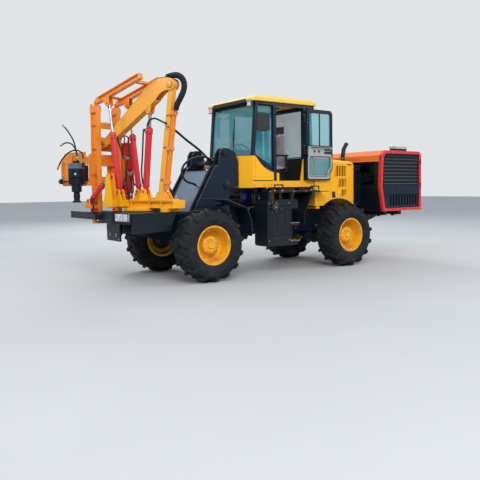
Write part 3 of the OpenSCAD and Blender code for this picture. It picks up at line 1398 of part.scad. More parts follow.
fold_foot = [fold_foot_u, rail_half_y, foot_pin_z];
fold_eye = [fold_eye_u, rail_half_y, fold_eye_z];
lift_foot = [lift_foot_u, 0, foot_pin_z];
lift_eye = [lift_eye_u, 0, lift_eye_z];
pitch_foot = [pitch_foot_u, pitch_v, pitch_foot_z];
pitch_eye = [pitch_eye_u, pitch_v, pitch_eye_z];
axis_v = [0, 1, 0];

// A barrel that starts with an eye on the foot pin; the pin itself belongs to it
module cyl_barrel(foot, eye, r, rod_r, len, pin_axis, pin_len) {
  v = (eye - foot) / norm(eye - foot);
  color(red) {
    difference() {
      union() {
        bar(foot + v * 56, foot + v * len, r);
        bar(foot + v * (len - 60), foot + v * (len + 12), r + 8);
        bar(foot + v * (len + 8), foot + v * (len + 26), rod_r + 8);
        bar(foot + v * 70, foot + v * 100, r + 5);
      }
      bar(foot + v * 80, foot + v * (len + 30), rod_r + 0.5);
    }
    bar(foot - pin_axis * 29, foot + pin_axis * 29, 38);
    bar(foot - pin_axis * pin_len / 2, foot + pin_axis * pin_len / 2, foot_pin_r);
    bar(foot, foot + v * 60, 30);
    // Port at the foot with its pipe to the head, on the -v side
    bar(foot + v * 110 - pin_axis * (r - 4), foot + v * 110 - pin_axis * (r + 16), 13);
    bar(foot + v * (len - 30) - pin_axis * (r - 4), foot + v * (len - 30) - pin_axis * (r + 22), 13);
    bar(foot + v * 110 - pin_axis * (r + 14), foot + v * (len - 30) - pin_axis * (r + 14), 6);
  }
}

module cyl_rod(foot, eye, rod_r, len, pin_axis, pin_len) {
  v = (eye - foot) / norm(eye - foot);
  color(steel) {
    bar(foot + v * len, eye - v * 20, rod_r);
    bar(eye - v * 52, eye - v * 20, rod_r + 7);
    bar(eye - pin_axis * pin_len / 2, eye + pin_axis * pin_len / 2, 30);
  }
}

function on_side(p, side) = [p[0], p[1] * side, p[2]];

module fold_barrel(side) {
  in_rig() cyl_barrel(on_side(fold_foot, side), on_side(fold_eye, side), 42, 22, 880, axis_v * side, 104);
}

module fold_rod(side) {
  in_rig() cyl_rod(on_side(fold_foot, side), on_side(fold_eye, side), 22, 400, axis_v * side, 56);
}

module lift_barrel() {
  in_rig() cyl_barrel(lift_foot, lift_eye, 48, 27, 930, axis_v, 116);
}

module lift_rod() {
  in_rig() cyl_rod(lift_foot, lift_eye, 27, 420, axis_v, 58);
}

module pitch_barrel() {
  in_rig() cyl_barrel(pitch_foot, pitch_eye, 36, 20, 390, axis_v, 96);
}

module pitch_rod() {
  in_rig() cyl_rod(pitch_foot, pitch_eye, 20, 180, axis_v, 56);
}

// Loose hoses of the drill head that end in the air, with hand chosen bends, in the rig's frame
hose_r = 11;
hose_long_path = [[935, 450, 1814.6], [935, 450, 1880], [950, 453, 1975], [976, 455, 2060], [1008, 458, 2132],
  [1048, 462, 2192], [1092, 466, 2248], [1136, 470, 2296], [1180, 474, 2336], [1222, 478, 2370]];
hose_middle_path = [[865, 500, 1814.6], [865, 500, 1870], [880, 506, 1940], [914, 508, 2006], [962, 508, 2054],
  [1022, 506, 2082], [1086, 504, 2094], [1150, 502, 2092], [1206, 500, 2078], [1250, 498, 2060]];
hose_low_path = [[805, 440, 1774.6], [806, 440, 1830], [822, 432, 1886], [858, 425, 1934], [912, 422, 1962],
  [974, 422, 1976], [1040, 424, 1978], [1106, 428, 1966], [1172, 434, 1940], [1236, 440, 1900],
  [1294, 446, 1854], [1342, 452, 1798], [1378, 456, 1742], [1398, 460, 1704]];

// Adds a point on the curve between each two points
function finer(p) = concat([for (i = [0:len(p) - 2], k = [0, 1])
  let (a = p[max(i - 1, 0)], d = p[min(i + 2, len(p) - 1)])
  k == 0 ? p[i] : (9 * (p[i] + p[i + 1]) - a - d) / 16], [p[len(p) - 1]]);

// A hose through the points, eight-sided, a ring at each
module hose(points_given) {
  path = finer(points_given);
  r = hose_r;
  n = len(path);
  k = 8;
  function dir(i) = let (d = path[min(i + 1, n - 1)] - path[max(i - 1, 0)]) d / norm(d);
  function side(i) = let (s = cross(dir(i), [0.2, 1, 0.1])) s / norm(s);
  points = [for (i = [0:n - 1], j = [0:k - 1])
    let (a = j * 360 / k) path[i] + r * (side(i) * cos(a) + cross(dir(i), side(i)) * sin(a))];
  faces = concat(
    [for (i = [0:n - 2], j = [0:k - 1]) let (m = (j + 1) % k)
      [i * k + j, (i + 1) * k + j, (i + 1) * k + m, i * k + m]],
    [[for (j = [0:k - 1]) j]],
    [[for (j = [0:k - 1]) n * k - 1 - j]]
  );
  in_rig() polyhedron(points = points, faces = faces);
}

// Middle of the object's footprint, from the front axle: the drill head and its arm reach furthest out
middle_x = (comp_x0 + rig_x + drill_u * sin(rig_angle) + drill_v * cos(rig_angle) + drill_r) / 2;
middle_y = (comp_y1 - arm_u1 * cos(rig_angle) + (swing_v + 4) * sin(rig_angle)) / 2;

translate([-middle_x, -middle_y, 0]) {
  rear_frame();
  engine_block();
  rear_axle();
  hood();
  radiator();
  cab_body();
  cab_frame();
  cab_roof();
  cab_visor();
  cab_glass();
  cab_interior();
  work_lamps();
  step_box();
  tank_right();
  compressor_body();
  compressor_panel();
  compressor_ends();
  compressor_louvres();
  compressor_frame();
  door_frame();
  door_glass();
  front_frame();
  fenders();
  front_axle();
  platform();
  headlamps();
  at_wheel(0, 1) tyre();  // tyre_front_left
  at_wheel(0, -1) tyre();  // tyre_front_right
  at_wheel(-wheelbase, 1) tyre();  // tyre_rear_left
  at_wheel(-wheelbase, -1) tyre();  // tyre_rear_right
  at_wheel(0, 1) rim();  // rim_front_left
  at_wheel(0, -1) rim();  // rim_front_right
  at_wheel(-wheelbase, 1) rim();  // rim_rear_left
  at_wheel(-wheelbase, -1) rim();  // rim_rear_right
  base_beam();
  column();
  column_pipes();
  boom();
  mast_rails();
  upper_mast();
  tool_slide();
  drill_arm();
  drill_head();
  drill_handle();
  hammer_arm();
  hammer();
  fold_barrel(1);  // fold_barrel_left
  fold_barrel(-1);  // fold_barrel_right
  fold_rod(1);  // fold_rod_left
  fold_rod(-1);  // fold_rod_right
  lift_barrel();
  lift_rod();
  pitch_barrel();
  pitch_rod();
  color(rubber) hose(hose_long_path);  // hose_long
  color(rubber) hose(hose_middle_path);  // hose_middle
  color(rubber) hose(hose_low_path);  // hose_low
}
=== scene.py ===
"""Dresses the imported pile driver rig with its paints, tyres, glass, cab fittings, hoses and fasteners."""

import math

import bmesh
import bpy
from bpy.props import FloatProperty, FloatVectorProperty, IntProperty, PointerProperty
from mathutils import Matrix, Vector


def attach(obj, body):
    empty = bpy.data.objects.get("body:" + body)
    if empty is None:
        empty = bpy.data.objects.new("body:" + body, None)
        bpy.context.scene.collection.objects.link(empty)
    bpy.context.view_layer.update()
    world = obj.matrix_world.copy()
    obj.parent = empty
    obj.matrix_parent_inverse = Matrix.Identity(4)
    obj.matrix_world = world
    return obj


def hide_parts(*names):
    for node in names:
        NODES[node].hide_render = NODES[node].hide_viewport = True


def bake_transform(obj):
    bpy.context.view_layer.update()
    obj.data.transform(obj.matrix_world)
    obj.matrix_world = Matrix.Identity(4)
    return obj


bl_info = {
    "name": "Pile driver rig dressing",
    "version": (1, 0, 0),
    "blender": (4, 5, 0),
    "location": "3D View > Sidebar > Rig",
    "description": "Builds the finishes and fittings of a wheeled pile driver rig on its packed frame",
    "category": "Object",
}

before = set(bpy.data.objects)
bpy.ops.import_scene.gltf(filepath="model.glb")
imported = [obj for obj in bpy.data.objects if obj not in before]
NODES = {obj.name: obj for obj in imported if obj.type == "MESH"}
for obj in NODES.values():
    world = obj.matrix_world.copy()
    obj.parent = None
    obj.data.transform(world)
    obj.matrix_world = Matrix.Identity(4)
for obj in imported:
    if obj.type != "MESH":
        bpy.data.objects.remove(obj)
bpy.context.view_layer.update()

# Places of the carrier in millimetres from the front axle, as in the part's source
MM = 0.001
WHEELBASE = 2844.0
HITCH_X = -WHEELBASE / 2
TYRE_Y = 768.0
TYRE_R = 540.0
COWL_X = -950.0
CAB_REAR = -2260.0
MID_POST = -1416.0
REAR_POST = -2064.0
HINGE = (-2020.0, 657.0)
COMP_X1 = -3570.0
COMP_X0 = -4700.0
COMP_Y0 = -900.0
COMP_Y1 = 1000.0
COMP_Z0 = 920.0
COMP_Z1 = 2020.0
RIG_X = 666.0
RIG_ANGLE = 18.0

# Places in the rig's frame: its u axis points away from the slewing centre, v to the left of it
RAIL_V = 204
HEAD_PIN = (-640, 2860)
MAST_PIN = (760, 2080)
FOLD_PIN = (745, 2710)
FOLD_TURN = 16.5
DRILL_AXIS = (935, 470)
DRILL_R = 122
ARM_TIP = (1470.5, 281)
HAMMER_AXIS = (830, -480)

# The middle of the part's box, the frame's origin, measured from the front axle's middle
_turn = math.radians(RIG_ANGLE)
_nose = RIG_X + DRILL_AXIS[0] * math.sin(_turn) + DRILL_AXIS[1] * math.cos(_turn) + DRILL_R
MIDDLE_X = (COMP_X0 + _nose) / 2
MIDDLE_Y = (COMP_Y1 - ARM_TIP[0] * math.cos(_turn) + ARM_TIP[1] * math.sin(_turn)) / 2
CARRIER = Matrix.Scale(MM, 4) @ Matrix.Translation((-MIDDLE_X, -MIDDLE_Y, 0))
RIG = CARRIER @ Matrix.Translation((RIG_X, 0, 0)) @ Matrix.Rotation(math.radians(RIG_ANGLE - 90), 4, "Z")
_folded = Matrix.Rotation(math.radians(FOLD_TURN), 4, "Y")
FOLD = RIG @ Matrix.Translation((FOLD_PIN[0], 0, FOLD_PIN[1])) @ _folded

WHEELS = [
    ("front_left", 0.0, 1),
    ("front_right", 0.0, -1),
    ("rear_left", -WHEELBASE, 1),
    ("rear_right", -WHEELBASE, -1),
]


# Settings that a user would change

class RigSizes(bpy.types.PropertyGroup):
    """Sizes and counts of the fittings."""

    lug_count: IntProperty(
        name="Lugs", description="Lugs round one shoulder of a tyre", default=15, min=12, max=20,
    )
    nut_count: IntProperty(name="Wheel nuts", description="Nuts on a hub", default=10, min=5, max=16)
    hose_radius: FloatProperty(
        name="Hose radius", description="Radius of the loose hoses", default=0.011, min=0.006, max=0.02,
        unit="LENGTH",
    )
    lens: FloatProperty(name="Lens", description="Focal length of the camera in millimetres", default=44.18)
    dust: FloatProperty(
        name="Dust", description="How dusty the machine is", default=0.5, min=0, max=1, subtype="FACTOR",
    )
    wear: FloatProperty(
        name="Wear", description="Wear along edges", default=0.5, min=0, max=1, subtype="FACTOR",
    )


def colour(name, description, default):
    """A colour setting."""
    return FloatVectorProperty(
        name=name, description=description, default=default, size=3, min=0, max=1, subtype="COLOR",
    )


class RigColours(bpy.types.PropertyGroup):
    """Colours of the finishes."""

    yellow: colour("Yellow", "Paint of the carrier", (0.92, 0.43, 0.010))
    amber: colour("Amber", "Paint of the column and the boom", (0.86, 0.38, 0.040))
    orange: colour("Orange", "Paint of the mast", (0.84, 0.27, 0.030))
    flame: colour("Flame", "Paint of the compressor's cover", (0.95, 0.20, 0.025))
    red: colour("Red", "Paint of the cylinders and the hammer", (0.66, 0.030, 0.032))
    navy: colour("Navy", "Paint of the frames", (0.006, 0.013, 0.028))
    black: colour("Black", "Paint of the tanks and the platform", (0.004, 0.009, 0.015))
    cream: colour("Cream", "Roof of the cab", (0.82, 0.55, 0.10))
    rubber: colour("Rubber", "Tyres and hoses", (0.009, 0.011, 0.014))
    glass: colour("Glass", "Tint of the panes", (0.06, 0.40, 0.48))
    earth: colour("Earth", "Dust and dried mud", (0.15, 0.12, 0.09))


# Shader maths

class Wire:
    """An output socket whose arithmetic adds Math nodes."""

    def __init__(self, finish, socket):
        self.finish = finish
        self.socket = socket

    def _math(self, operation, a, b):
        return self.finish.add("Math", {"operation": operation}, {0: a, 1: b})

    def __add__(self, other):
        return self._math("ADD", self, other)

    __radd__ = __add__

    def __sub__(self, other):
        return self._math("SUBTRACT", self, other)

    def __rsub__(self, other):
        return self._math("SUBTRACT", other, self)

    def __mul__(self, other):
        return self._math("MULTIPLY", self, other)

    __rmul__ = __mul__


class Finish:
    """The nodes of a material or of the world, and the ways to fill them."""

    def __init__(self, owner, place="Object"):
        self.owner = owner
        owner.use_nodes = True
        self.tree = owner.node_tree
        self.tree.nodes.clear()
        self.place = self.add("TexCoord", {}, {}, place)

    def add(self, kind, settings, sockets, out=0):
        """Adds a node with its settings, fills or links its sockets and gives one output."""
        node = self.tree.nodes.new("ShaderNode" + kind)
        for key, value in settings.items():
            setattr(node, key, value)
        for key, value in sockets.items():
            if isinstance(value, Wire):
                self.tree.links.new(value.socket, node.inputs[key])
            else:
                node.inputs[key].default_value = value
        return Wire(self, node.outputs[out]) if len(node.outputs) else None

    def noise(self, scale, detail=3.0, rough=0.55, at=None):
        return self.add("TexNoise", {}, {
            "Vector": at or self.place, "Scale": scale, "Detail": detail, "Roughness": rough,
        })

    def mix(self, fac, a, b):
        """A colour between two, by the factor."""
        return self.add("Mix", {"data_type": "RGBA"}, {0: fac, 6: opaque(a), 7: opaque(b)}, 2)

    def part(self, vector, axis):
        """One component of a vector."""
        return self.add("SeparateXYZ", {}, {"Vector": vector}, axis)

    def step(self, value, low, high):
        """Rises smoothly from 0 to 1 between two values."""
        return self.add(
            "MapRange", {"interpolation_type": "SMOOTHSTEP"},
            {"Value": value, "From Min": low, "From Max": high, "To Min": 0.0, "To Max": 1.0},
        )

    def bevel(self, radius):
        """The normal, rounded at the edges."""
        return self.add("Bevel", {"samples": 4}, {"Radius": radius})

    def bump(self, height, strength, distance, normal=None):
        """The normal, raised and lowered by a height."""
        sockets = {"Height": height, "Strength": strength, "Distance": distance}
        if normal:
            sockets["Normal"] = normal
        return self.add("Bump", {}, sockets)

    def close(self, sockets):
        """Adds the surface and the output, and gives the material."""
        self.add("OutputMaterial", {}, {"Surface": self.add("BsdfPrincipled", {}, sockets)})
        return self.owner


def opaque(value):
    """A colour of three numbers gets its fourth."""
    if isinstance(value, Wire):
        return value
    return (*value, 1.0) if len(value) == 3 else value


def sizes():
    """The sizes and counts set for the scene."""
    return bpy.context.scene.rig_sizes


def tone(name):
    """The colour set under this name."""
    return tuple(getattr(bpy.context.scene.rig_colours, name))


def painted(name, hue, rough=0.34, coat=0.22, edge=0.004, dust=1.0, chips=1.0):
    """Sprayed machine paint: orange peel, faint cloudiness, worn edges and settled dust."""
    f = Finish(bpy.data.materials.new(name))
    soft = f.bevel(edge)
    flat = f.add("NewGeometry", {}, {}, "Normal")
    corner = 1 - f.add("VectorMath", {"operation": "DOT_PRODUCT"}, {0: soft, 1: flat}, "Value")
    grit = f.noise(55.0, 4.0, 0.6)
    worn = f.step(corner * 2.4 + grit * 0.55, 0.50, 0.66) * (0.75 * sizes().wear * chips)
    cloud = f.noise(1.7, 3.0)
    body = f.mix(f.step(cloud, 0.3, 0.75) * 0.35, hue, tuple(c * 0.80 for c in hue))
    streak = f.noise(1.0, 4.0, 0.6, f.add("Mapping", {}, {"Vector": f.place, "Scale": (26.0, 26.0, 2.2)}))
    body = f.mix(f.step(streak, 0.55, 0.85) * 0.22, body, tuple(c * 0.62 for c in hue))
    height = f.part(f.place, "Z")
    up = f.part(flat, "Z")
    low = 1 - f.step(height + f.noise(3.1) * 0.5, 0.35, 1.45)
    film = f.step(f.noise(7.0, 5.0, 0.62), 0.38, 0.72)
    grime = (low * 0.62 + f.step(up, 0.6, 1.0) * 0.34) * film * (sizes().dust * dust)
    body = f.mix(worn, body, (0.055, 0.050, 0.047))
    body = f.mix(grime, body, tone("earth"))
    peel = f.bump(f.noise(420.0, 1.0), 0.05, 0.0006, soft)
    return f.close({
        "Base Color": body,
        "Roughness": grime * 0.5 + worn * 0.25 + f.step(cloud, 0.2, 0.9) * 0.08 + rough,
        "Metallic": worn * 0.4,
        "Specular IOR Level": 0.26,
        "Coat Weight": (1 - grime) * coat,
        "Coat Roughness": 0.10,
        "Normal": peel,
    })


def rubbery(name, hue, mud=1.0, rough=0.72):
    """Rubber with fine pores, scuffs and dried mud."""
    f = Finish(bpy.data.materials.new(name))
    pores = f.noise(260.0, 2.0)
    wash = f.noise(6.0, 6.0, 0.65)
    soil = f.step(wash, 0.48, 0.78) * (0.34 * mud * (0.4 + sizes().dust))
    flat = f.add("NewGeometry", {}, {}, "Normal")
    base = f.mix(f.step(pores, 0.4, 0.7) * 0.5, hue, (0.019, 0.022, 0.026))
    base = f.mix(soil, base, tone("earth"))
    relief = f.bump(wash, 0.35, 0.004, f.bump(pores, 0.25, 0.0012, f.bevel(0.003)))
    return f.close({
        "Base Color": base,
        "Roughness": soil * 0.2 + f.part(flat, "Z") * 0.02 + rough,
        "Specular IOR Level": 0.22,
        "Normal": relief,
    })


def polished(name, hue, rough=0.24):
    """Chromed or ground steel with fine lines round it."""
    f = Finish(bpy.data.materials.new(name))
    lines = f.noise(1.0, 2.0, 0.5, f.add("Mapping", {}, {"Vector": f.place, "Scale": (30.0, 30.0, 900.0)}))
    oil = f.step(f.noise(14.0, 4.0), 0.52, 0.7)
    return f.close({
        "Base Color": f.mix(oil * 0.35, hue, (0.30, 0.27, 0.23)),
        "Metallic": 1.0,
        "Roughness": oil * 0.18 + lines * 0.08 + rough,
        "Normal": f.bump(lines, 0.04, 0.0004, f.bevel(0.002)),
    })


def zinced(name, hue, rough=0.38):
    """Zinc or brass of bolts and hose ends."""
    f = Finish(bpy.data.materials.new(name))
    spots = f.step(f.noise(90.0, 4.0), 0.5, 0.75)
    return f.close({
        "Base Color": f.mix(spots * 0.6, hue, (0.16, 0.11, 0.07)),
        "Metallic": 1 - spots * 0.5,
        "Roughness": spots * 0.3 + rough,
        "Normal": f.bump(spots, 0.1, 0.0005, f.bevel(0.0015)),
    })


def pane(name, hue, alpha=0.42):
    """Tinted glass with a film of dust towards its edges."""
    f = Finish(bpy.data.materials.new(name))
    film = f.step(f.noise(4.0, 5.0, 0.6), 0.45, 0.8)
    return f.close({
        "Base Color": f.mix(film * 0.25, hue, (0.42, 0.46, 0.44)),
        "Roughness": film * 0.10 + 0.03,
        "Alpha": film * 0.08 + alpha,
        "IOR": 1.52,
        "Coat Weight": 1.0,
        "Coat Roughness": 0.02,
        "Specular IOR Level": 1.0,
    })


def cloth(name, hue, second, scale=900.0):
    """Woven seat cover."""
    f = Finish(bpy.data.materials.new(name))
    at = f.add("Mapping", {}, {"Vector": f.place, "Rotation": (0.0, 0.0, 0.5)})
    warp = f.add("TexWave", {"bands_direction": "X"}, {"Vector": at, "Scale": scale / 6, "Distortion": 0.6})
    weft = f.add("TexWave", {"bands_direction": "Z"}, {"Vector": at, "Scale": scale / 6, "Distortion": 0.6})
    thread = warp * weft
    worn = f.step(f.noise(9.0, 4.0), 0.4, 0.7)
    return f.close({
        "Base Color": f.mix(thread * 0.5 + worn * 0.35, hue, second),
        "Roughness": worn * 0.05 + 0.86,
        "Sheen Weight": 0.35,
        "Normal": f.bump(thread + f.noise(30.0) * 0.6, 0.4, 0.0016),
    })


def moulded(name, hue, rough=0.5):
    """Grained plastic."""
    f = Finish(bpy.data.materials.new(name))
    grain = f.add("TexVoronoi", {}, {"Vector": f.place, "Scale": 420.0})
    rub = f.step(f.noise(12.0, 4.0), 0.45, 0.75)
    return f.close({
        "Base Color": f.mix(rub * 0.4, hue, tuple(min(1, c * 1.5 + 0.02) for c in hue)),
        "Roughness": rub * 0.15 + rough,
        "Specular IOR Level": 0.3,
        "Normal": f.bump(grain, 0.12, 0.0005, f.bevel(0.003)),
    })


def lens(name, hue):
    """Ribbed lamp glass over its reflector."""
    f = Finish(bpy.data.materials.new(name))
    ribs = f.add("TexWave", {"bands_direction": "X"}, {"Vector": f.place, "Scale": 38.0})
    cells = f.add("TexVoronoi", {}, {"Vector": f.place, "Scale": 55.0})
    return f.close({
        "Base Color": f.mix(f.step(cells, 0.2, 0.7) * 0.55, hue, (0.34, 0.38, 0.43)),
        "Metallic": f.step(cells, 0.25, 0.6) * 0.5,
        "Roughness": ribs * 0.1 + 0.08,
        "Coat Weight": 1.0,
        "Coat Roughness": 0.03,
        "Normal": f.bump(ribs, 0.4, 0.002, f.bevel(0.004)),
    })


# Each finish with its maker, its hue as a colour or the name of a setting, and what differs
LOOKS = {
    "yellow_paint": (painted, "yellow", {}),
    "amber_paint": (painted, "amber", {"dust": 0.6}),
    "orange_paint": (painted, "orange", {"dust": 0.6}),
    "flame_paint": (painted, "flame", {"rough": 0.5, "coat": 0.0, "dust": 0.2, "chips": 0.6}),
    "red_paint": (painted, "red", {"dust": 0.6}),
    "navy_paint": (painted, "navy", {"coat": 0.12, "dust": 0.3}),
    # Navy sheet whose pale blue base colour is a painted reflection of the sky
    "gloss_plate": (painted, (0.10, 0.17, 0.26), {"rough": 0.2, "coat": 0.8, "dust": 0.2}),
    "black_paint": (painted, "black", {"rough": 0.42, "coat": 0.12, "dust": 0.4}),
    "cream_paint": (painted, "cream", {"rough": 0.6, "coat": 0.0, "chips": 0.3, "edge": 0.012}),
    "wheel_paint": (painted, "yellow", {"rough": 0.3, "dust": 1.3}),
    "grey_trim": (painted, (0.36, 0.37, 0.36), {"rough": 0.45, "coat": 0.2}),
    "slate": (painted, (0.10, 0.13, 0.16), {"rough": 0.4, "coat": 0.2}),
    "pale_cap": (painted, (0.42, 0.46, 0.50), {"rough": 0.4, "coat": 0.2}),
    "blue": (painted, (0.01, 0.035, 0.42), {"rough": 0.25, "chips": 0.3}),
    "rubber": (rubbery, "rubber", {}),
    "tyre_rubber": (rubbery, "rubber", {"mud": 0.9}),
    "hose": (rubbery, "rubber", {"mud": 0.3, "rough": 0.45}),
    "gasket": (rubbery, "rubber", {"mud": 0.25, "rough": 0.6}),
    "chrome": (polished, (0.60, 0.61, 0.63), {}),
    "mirror": (polished, (0.85, 0.88, 0.9), {"rough": 0.03}),
    "zinc": (zinced, (0.42, 0.40, 0.36), {}),
    "brass": (zinced, (0.62, 0.46, 0.20), {"rough": 0.3}),
    "glass": (pane, "glass", {}),
    "lamp_glass": (lens, (0.82, 0.85, 0.88), {}),
    "seat_cloth": (cloth, (0.33, 0.29, 0.36), {"second": (0.52, 0.49, 0.56)}),
    "fleece": (cloth, (0.62, 0.62, 0.60), {"second": (0.25, 0.25, 0.26), "scale": 240.0}),
    "head_cloth": (cloth, (0.05, 0.03, 0.04), {"second": (0.10, 0.06, 0.07)}),
    "plastic": (moulded, (0.02, 0.02, 0.022), {}),
    "shadow": (moulded, (0.003, 0.004, 0.006), {"rough": 0.8}),
}
MADE = {}


def finish(name):
    """The named finish, made once."""
    if name not in MADE:
        maker, hue, settings = LOOKS[name]
        MADE[name] = maker(name, tone(hue) if isinstance(hue, str) else hue, **settings)
    return MADE[name]


# Mesh building

# Edges bent by more than this stay sharp
CREASE = math.radians(38)


def vec(*p):
    """A vector of the given numbers."""
    return Vector(p)


def arc(cx, cy, r, a0, a1, n=8):
    """Points on an arc, angles in degrees."""
    steps = [math.radians(a0 + (a1 - a0) * i / n) for i in range(n + 1)]
    return [(cx + r * math.cos(a), cy + r * math.sin(a)) for a in steps]


def flow(points, steps=4):
    """A smooth line through the points."""
    p = [Vector(q) for q in points]
    line = []
    for i in range(len(p) - 1):
        a, b, c, d = p[max(i - 1, 0)], p[i], p[i + 1], p[min(i + 2, len(p) - 1)]
        for k in range(steps):
            t = k / steps
            bend, twist = 2 * a - 5 * b + 4 * c - d, 3 * b - a - 3 * c + d
            line.append(0.5 * (2 * b + (c - a) * t + bend * t * t + twist * t ** 3))
    return line + [p[-1]]


def sides_of(direction):
    """Two directions square to the given one."""
    d = Vector(direction).normalized()
    helper = Vector((0, 0, 1)) if abs(d.z) < 0.9 else Vector((1, 0, 0))
    u = d.cross(helper).normalized()
    return u, d.cross(u)


class Shape:
    """A mesh under construction, in millimetres of the place where it stands."""

    def __init__(self, place=CARRIER):
        self.place = place
        self.mesh = bmesh.new()
        self.finishes = []
        self.tint = 0

    def use(self, name):
        """Sets the finish of what is added next."""
        if name not in self.finishes:
            self.finishes.append(name)
        self.tint = self.finishes.index(name)
        return self

    def skin(self, rings, closed=True, caps=True, loop=False):
        """Faces between rings of points."""
        made = [[self.mesh.verts.new(p) for p in ring] for ring in rings]
        count = len(made[0])
        faces = []
        for i in range(len(made) - (0 if loop else 1)):
            a, b = made[i], made[(i + 1) % len(made)]
            for j in range(count if closed else count - 1):
                k = (j + 1) % count
                faces.append(self.mesh.faces.new((a[j], a[k], b[k], b[j])))
        if caps and not loop:
            faces.append(self.mesh.faces.new(made[0][::-1]))
            faces.append(self.mesh.faces.new(made[-1]))
        for face in faces:
            face.material_index = self.tint
        return faces

    def round_off(self, faces, width, segments=2):
        """Rounds the edges between faces."""
        edges = list({
            e for f in faces for e in f.edges if len(e.link_faces) == 2 and e.calc_face_angle(0) > 0.5
        })
        bmesh.ops.bevel(
            self.mesh, geom=edges, offset=width, segments=segments, profile=0.5, affect="EDGES",
            clamp_overlap=True,
        )

    def box(self, corner, other, edge=0.0, segments=2):
        """A box between two corners in any order."""
        (x0, x1), (y0, y1), (z0, z1) = (sorted(pair) for pair in zip(corner, other))
        ring = [(x0, y0), (x1, y0), (x1, y1), (x0, y1)]
        faces = self.skin([[(x, y, z) for x, y in ring] for z in (z0, z1)])
        if edge:
            self.round_off(faces, edge, segments)
        return self

    def prism(self, points, axis, start, end, edge=0.0, segments=1):
        """A flat outline made solid along X, Y or Z, its ends in any order."""
        at = "XYZ".index(axis)
        faces = self.skin([[(*p[:at], t, *p[at:]) for p in points] for t in sorted((start, end))])
        if edge:
            self.round_off(faces, edge, segments)
        return self

    def rod(self, a, b, r, count=16, edge=0.0, r2=None):
        """A round or many-sided bar, its ends cut by the edge, tapered to the second radius."""
        a, b = Vector(a), Vector(b)
        d = (b - a).normalized()
        u, v = sides_of(d)
        r2 = r if r2 is None else r2
        stations = [
            (a, r - edge), (a + d * edge, r), (b - d * edge, r2), (b, r2 - edge),
        ] if edge else [(a, r), (b, r2)]
        turns = turns_of(count, 0.5)
        self.skin([[c + (u * math.cos(t) + v * math.sin(t)) * q for t in turns] for c, q in stations])
        return self

    def tube(self, points, r, count=10, caps=True, pitch=0.0, depth=0.0):
        """A round tube along the points, ribbed where a pitch is given."""
        p = [Vector(q) for q in points]
        u, _ = sides_of(p[1] - p[0])
        rings = []
        gone = 0.0
        for i, here in enumerate(p):
            d = (p[min(i + 1, len(p) - 1)] - p[max(i - 1, 0)]).normalized()
            u = (u - d * u.dot(d)).normalized()
            v = d.cross(u)
            gone += (here - p[i - 1]).length if i else 0.0
            q = r + (depth * math.sin(2 * math.pi * gone / pitch) if pitch else 0.0)
            rings.append([here + (u * math.cos(t) + v * math.sin(t)) * q for t in turns_of(count)])
        self.skin(rings, caps=caps)
        return self

    def hose(self, points, r, count=10, steps=4, **ribs):
        """A tube along the smooth line through the points."""
        return self.tube(flow(points, steps), r, count, **ribs)

    def lathe(self, profile, at, axis, count=48, closed=False):
        """Radius and distance along the axis, turned round it."""
        d = Vector(axis).normalized()
        u, v = sides_of(d)
        at = Vector(at)
        rings = [[
            at + d * h + (u * math.cos(t) + v * math.sin(t)) * r for r, h in profile
        ] for t in turns_of(count)]
        faces = self.skin(rings, closed=closed, loop=True)
        bmesh.ops.remove_doubles(self.mesh, verts=list({v for f in faces for v in f.verts}), dist=0.01)
        return self

    def ring(self, profile, at, axis, count=48):
        """A lathe whose profile is a closed outline away from the axis."""
        return self.lathe(profile, at, axis, count, True)

    def tread(self, x, y, z, turn, reach, half, rise):
        """A raised lens of tread plate, pointed along one diagonal or the other."""
        along, across = reach
        a, b = vec(x - along, y - across * turn, z), vec(x + along, y + across * turn, z)
        side = (b - a).cross(vec(0, 0, 1)).normalized() * half
        mid, top = (a + b) / 2, vec(0, 0, rise)
        self.skin([
            [a, mid + side, b, mid - side],
            [
                a * 0.6 + mid * 0.4 + top, mid + side * 0.4 + top, b * 0.6 + mid * 0.4 + top,
                mid - side * 0.4 + top,
            ],
        ])

    def bolt(self, at, axis, r=10.0, head=8.0):
        """A hexagon head on its washer, standing on a face."""
        at, d = Vector(at), Vector(axis).normalized()
        self.rod(at - d, at + d * 2, r * 1.55, 14, 0.6)
        self.rod(at + d * 2, at + d * (2 + head), r, 6, 1.2)
        self.rod(at + d * (1 + head), at + d * (3.5 + head), r * 0.55, 10, 0.6)
        return self

    def bolts(self, points, axis, r=10.0, head=8.0):
        """The same bolt at each of the points."""
        for point in points:
            self.bolt(point, axis, r, head)
        return self

    def clamp(self, at, axis, r, width=14.0):
        """A band round a pipe with its ear and screw."""
        at, d = Vector(at), Vector(axis).normalized()
        u, v = sides_of(d)
        self.rod(at - d * width / 2, at + d * width / 2, r + 2.5, 16, 1.0)
        self.rod(at + u * (r + 7) - v * 9, at + u * (r + 7) + v * 9, 4.0, 6, 0.8)
        return self

    def fitting(self, at, axis, r, length=60.0):
        """A hydraulic hose end: crimped ferrule, neck and union nut."""
        at, d = Vector(at), Vector(axis).normalized()
        self.lathe([
            (0, 0), (r * 1.1, 0), (r * 1.42, 3), (r * 1.42, length * 0.14), (r * 1.3, length * 0.17),
            (r * 1.3, length * 0.21), (r * 1.42, length * 0.24), (r * 1.42, length * 0.46),
            (r * 0.9, length * 0.52), (r * 0.9, length * 0.6), (0, length * 0.6),
        ], at, d, 18)
        self.rod(at + d * length * 0.58, at + d * length * 0.9, r * 1.6, 6, 1.5)
        self.rod(at + d * length * 0.88, at + d * length, r * 1.1, 14, 1.0)
        return self

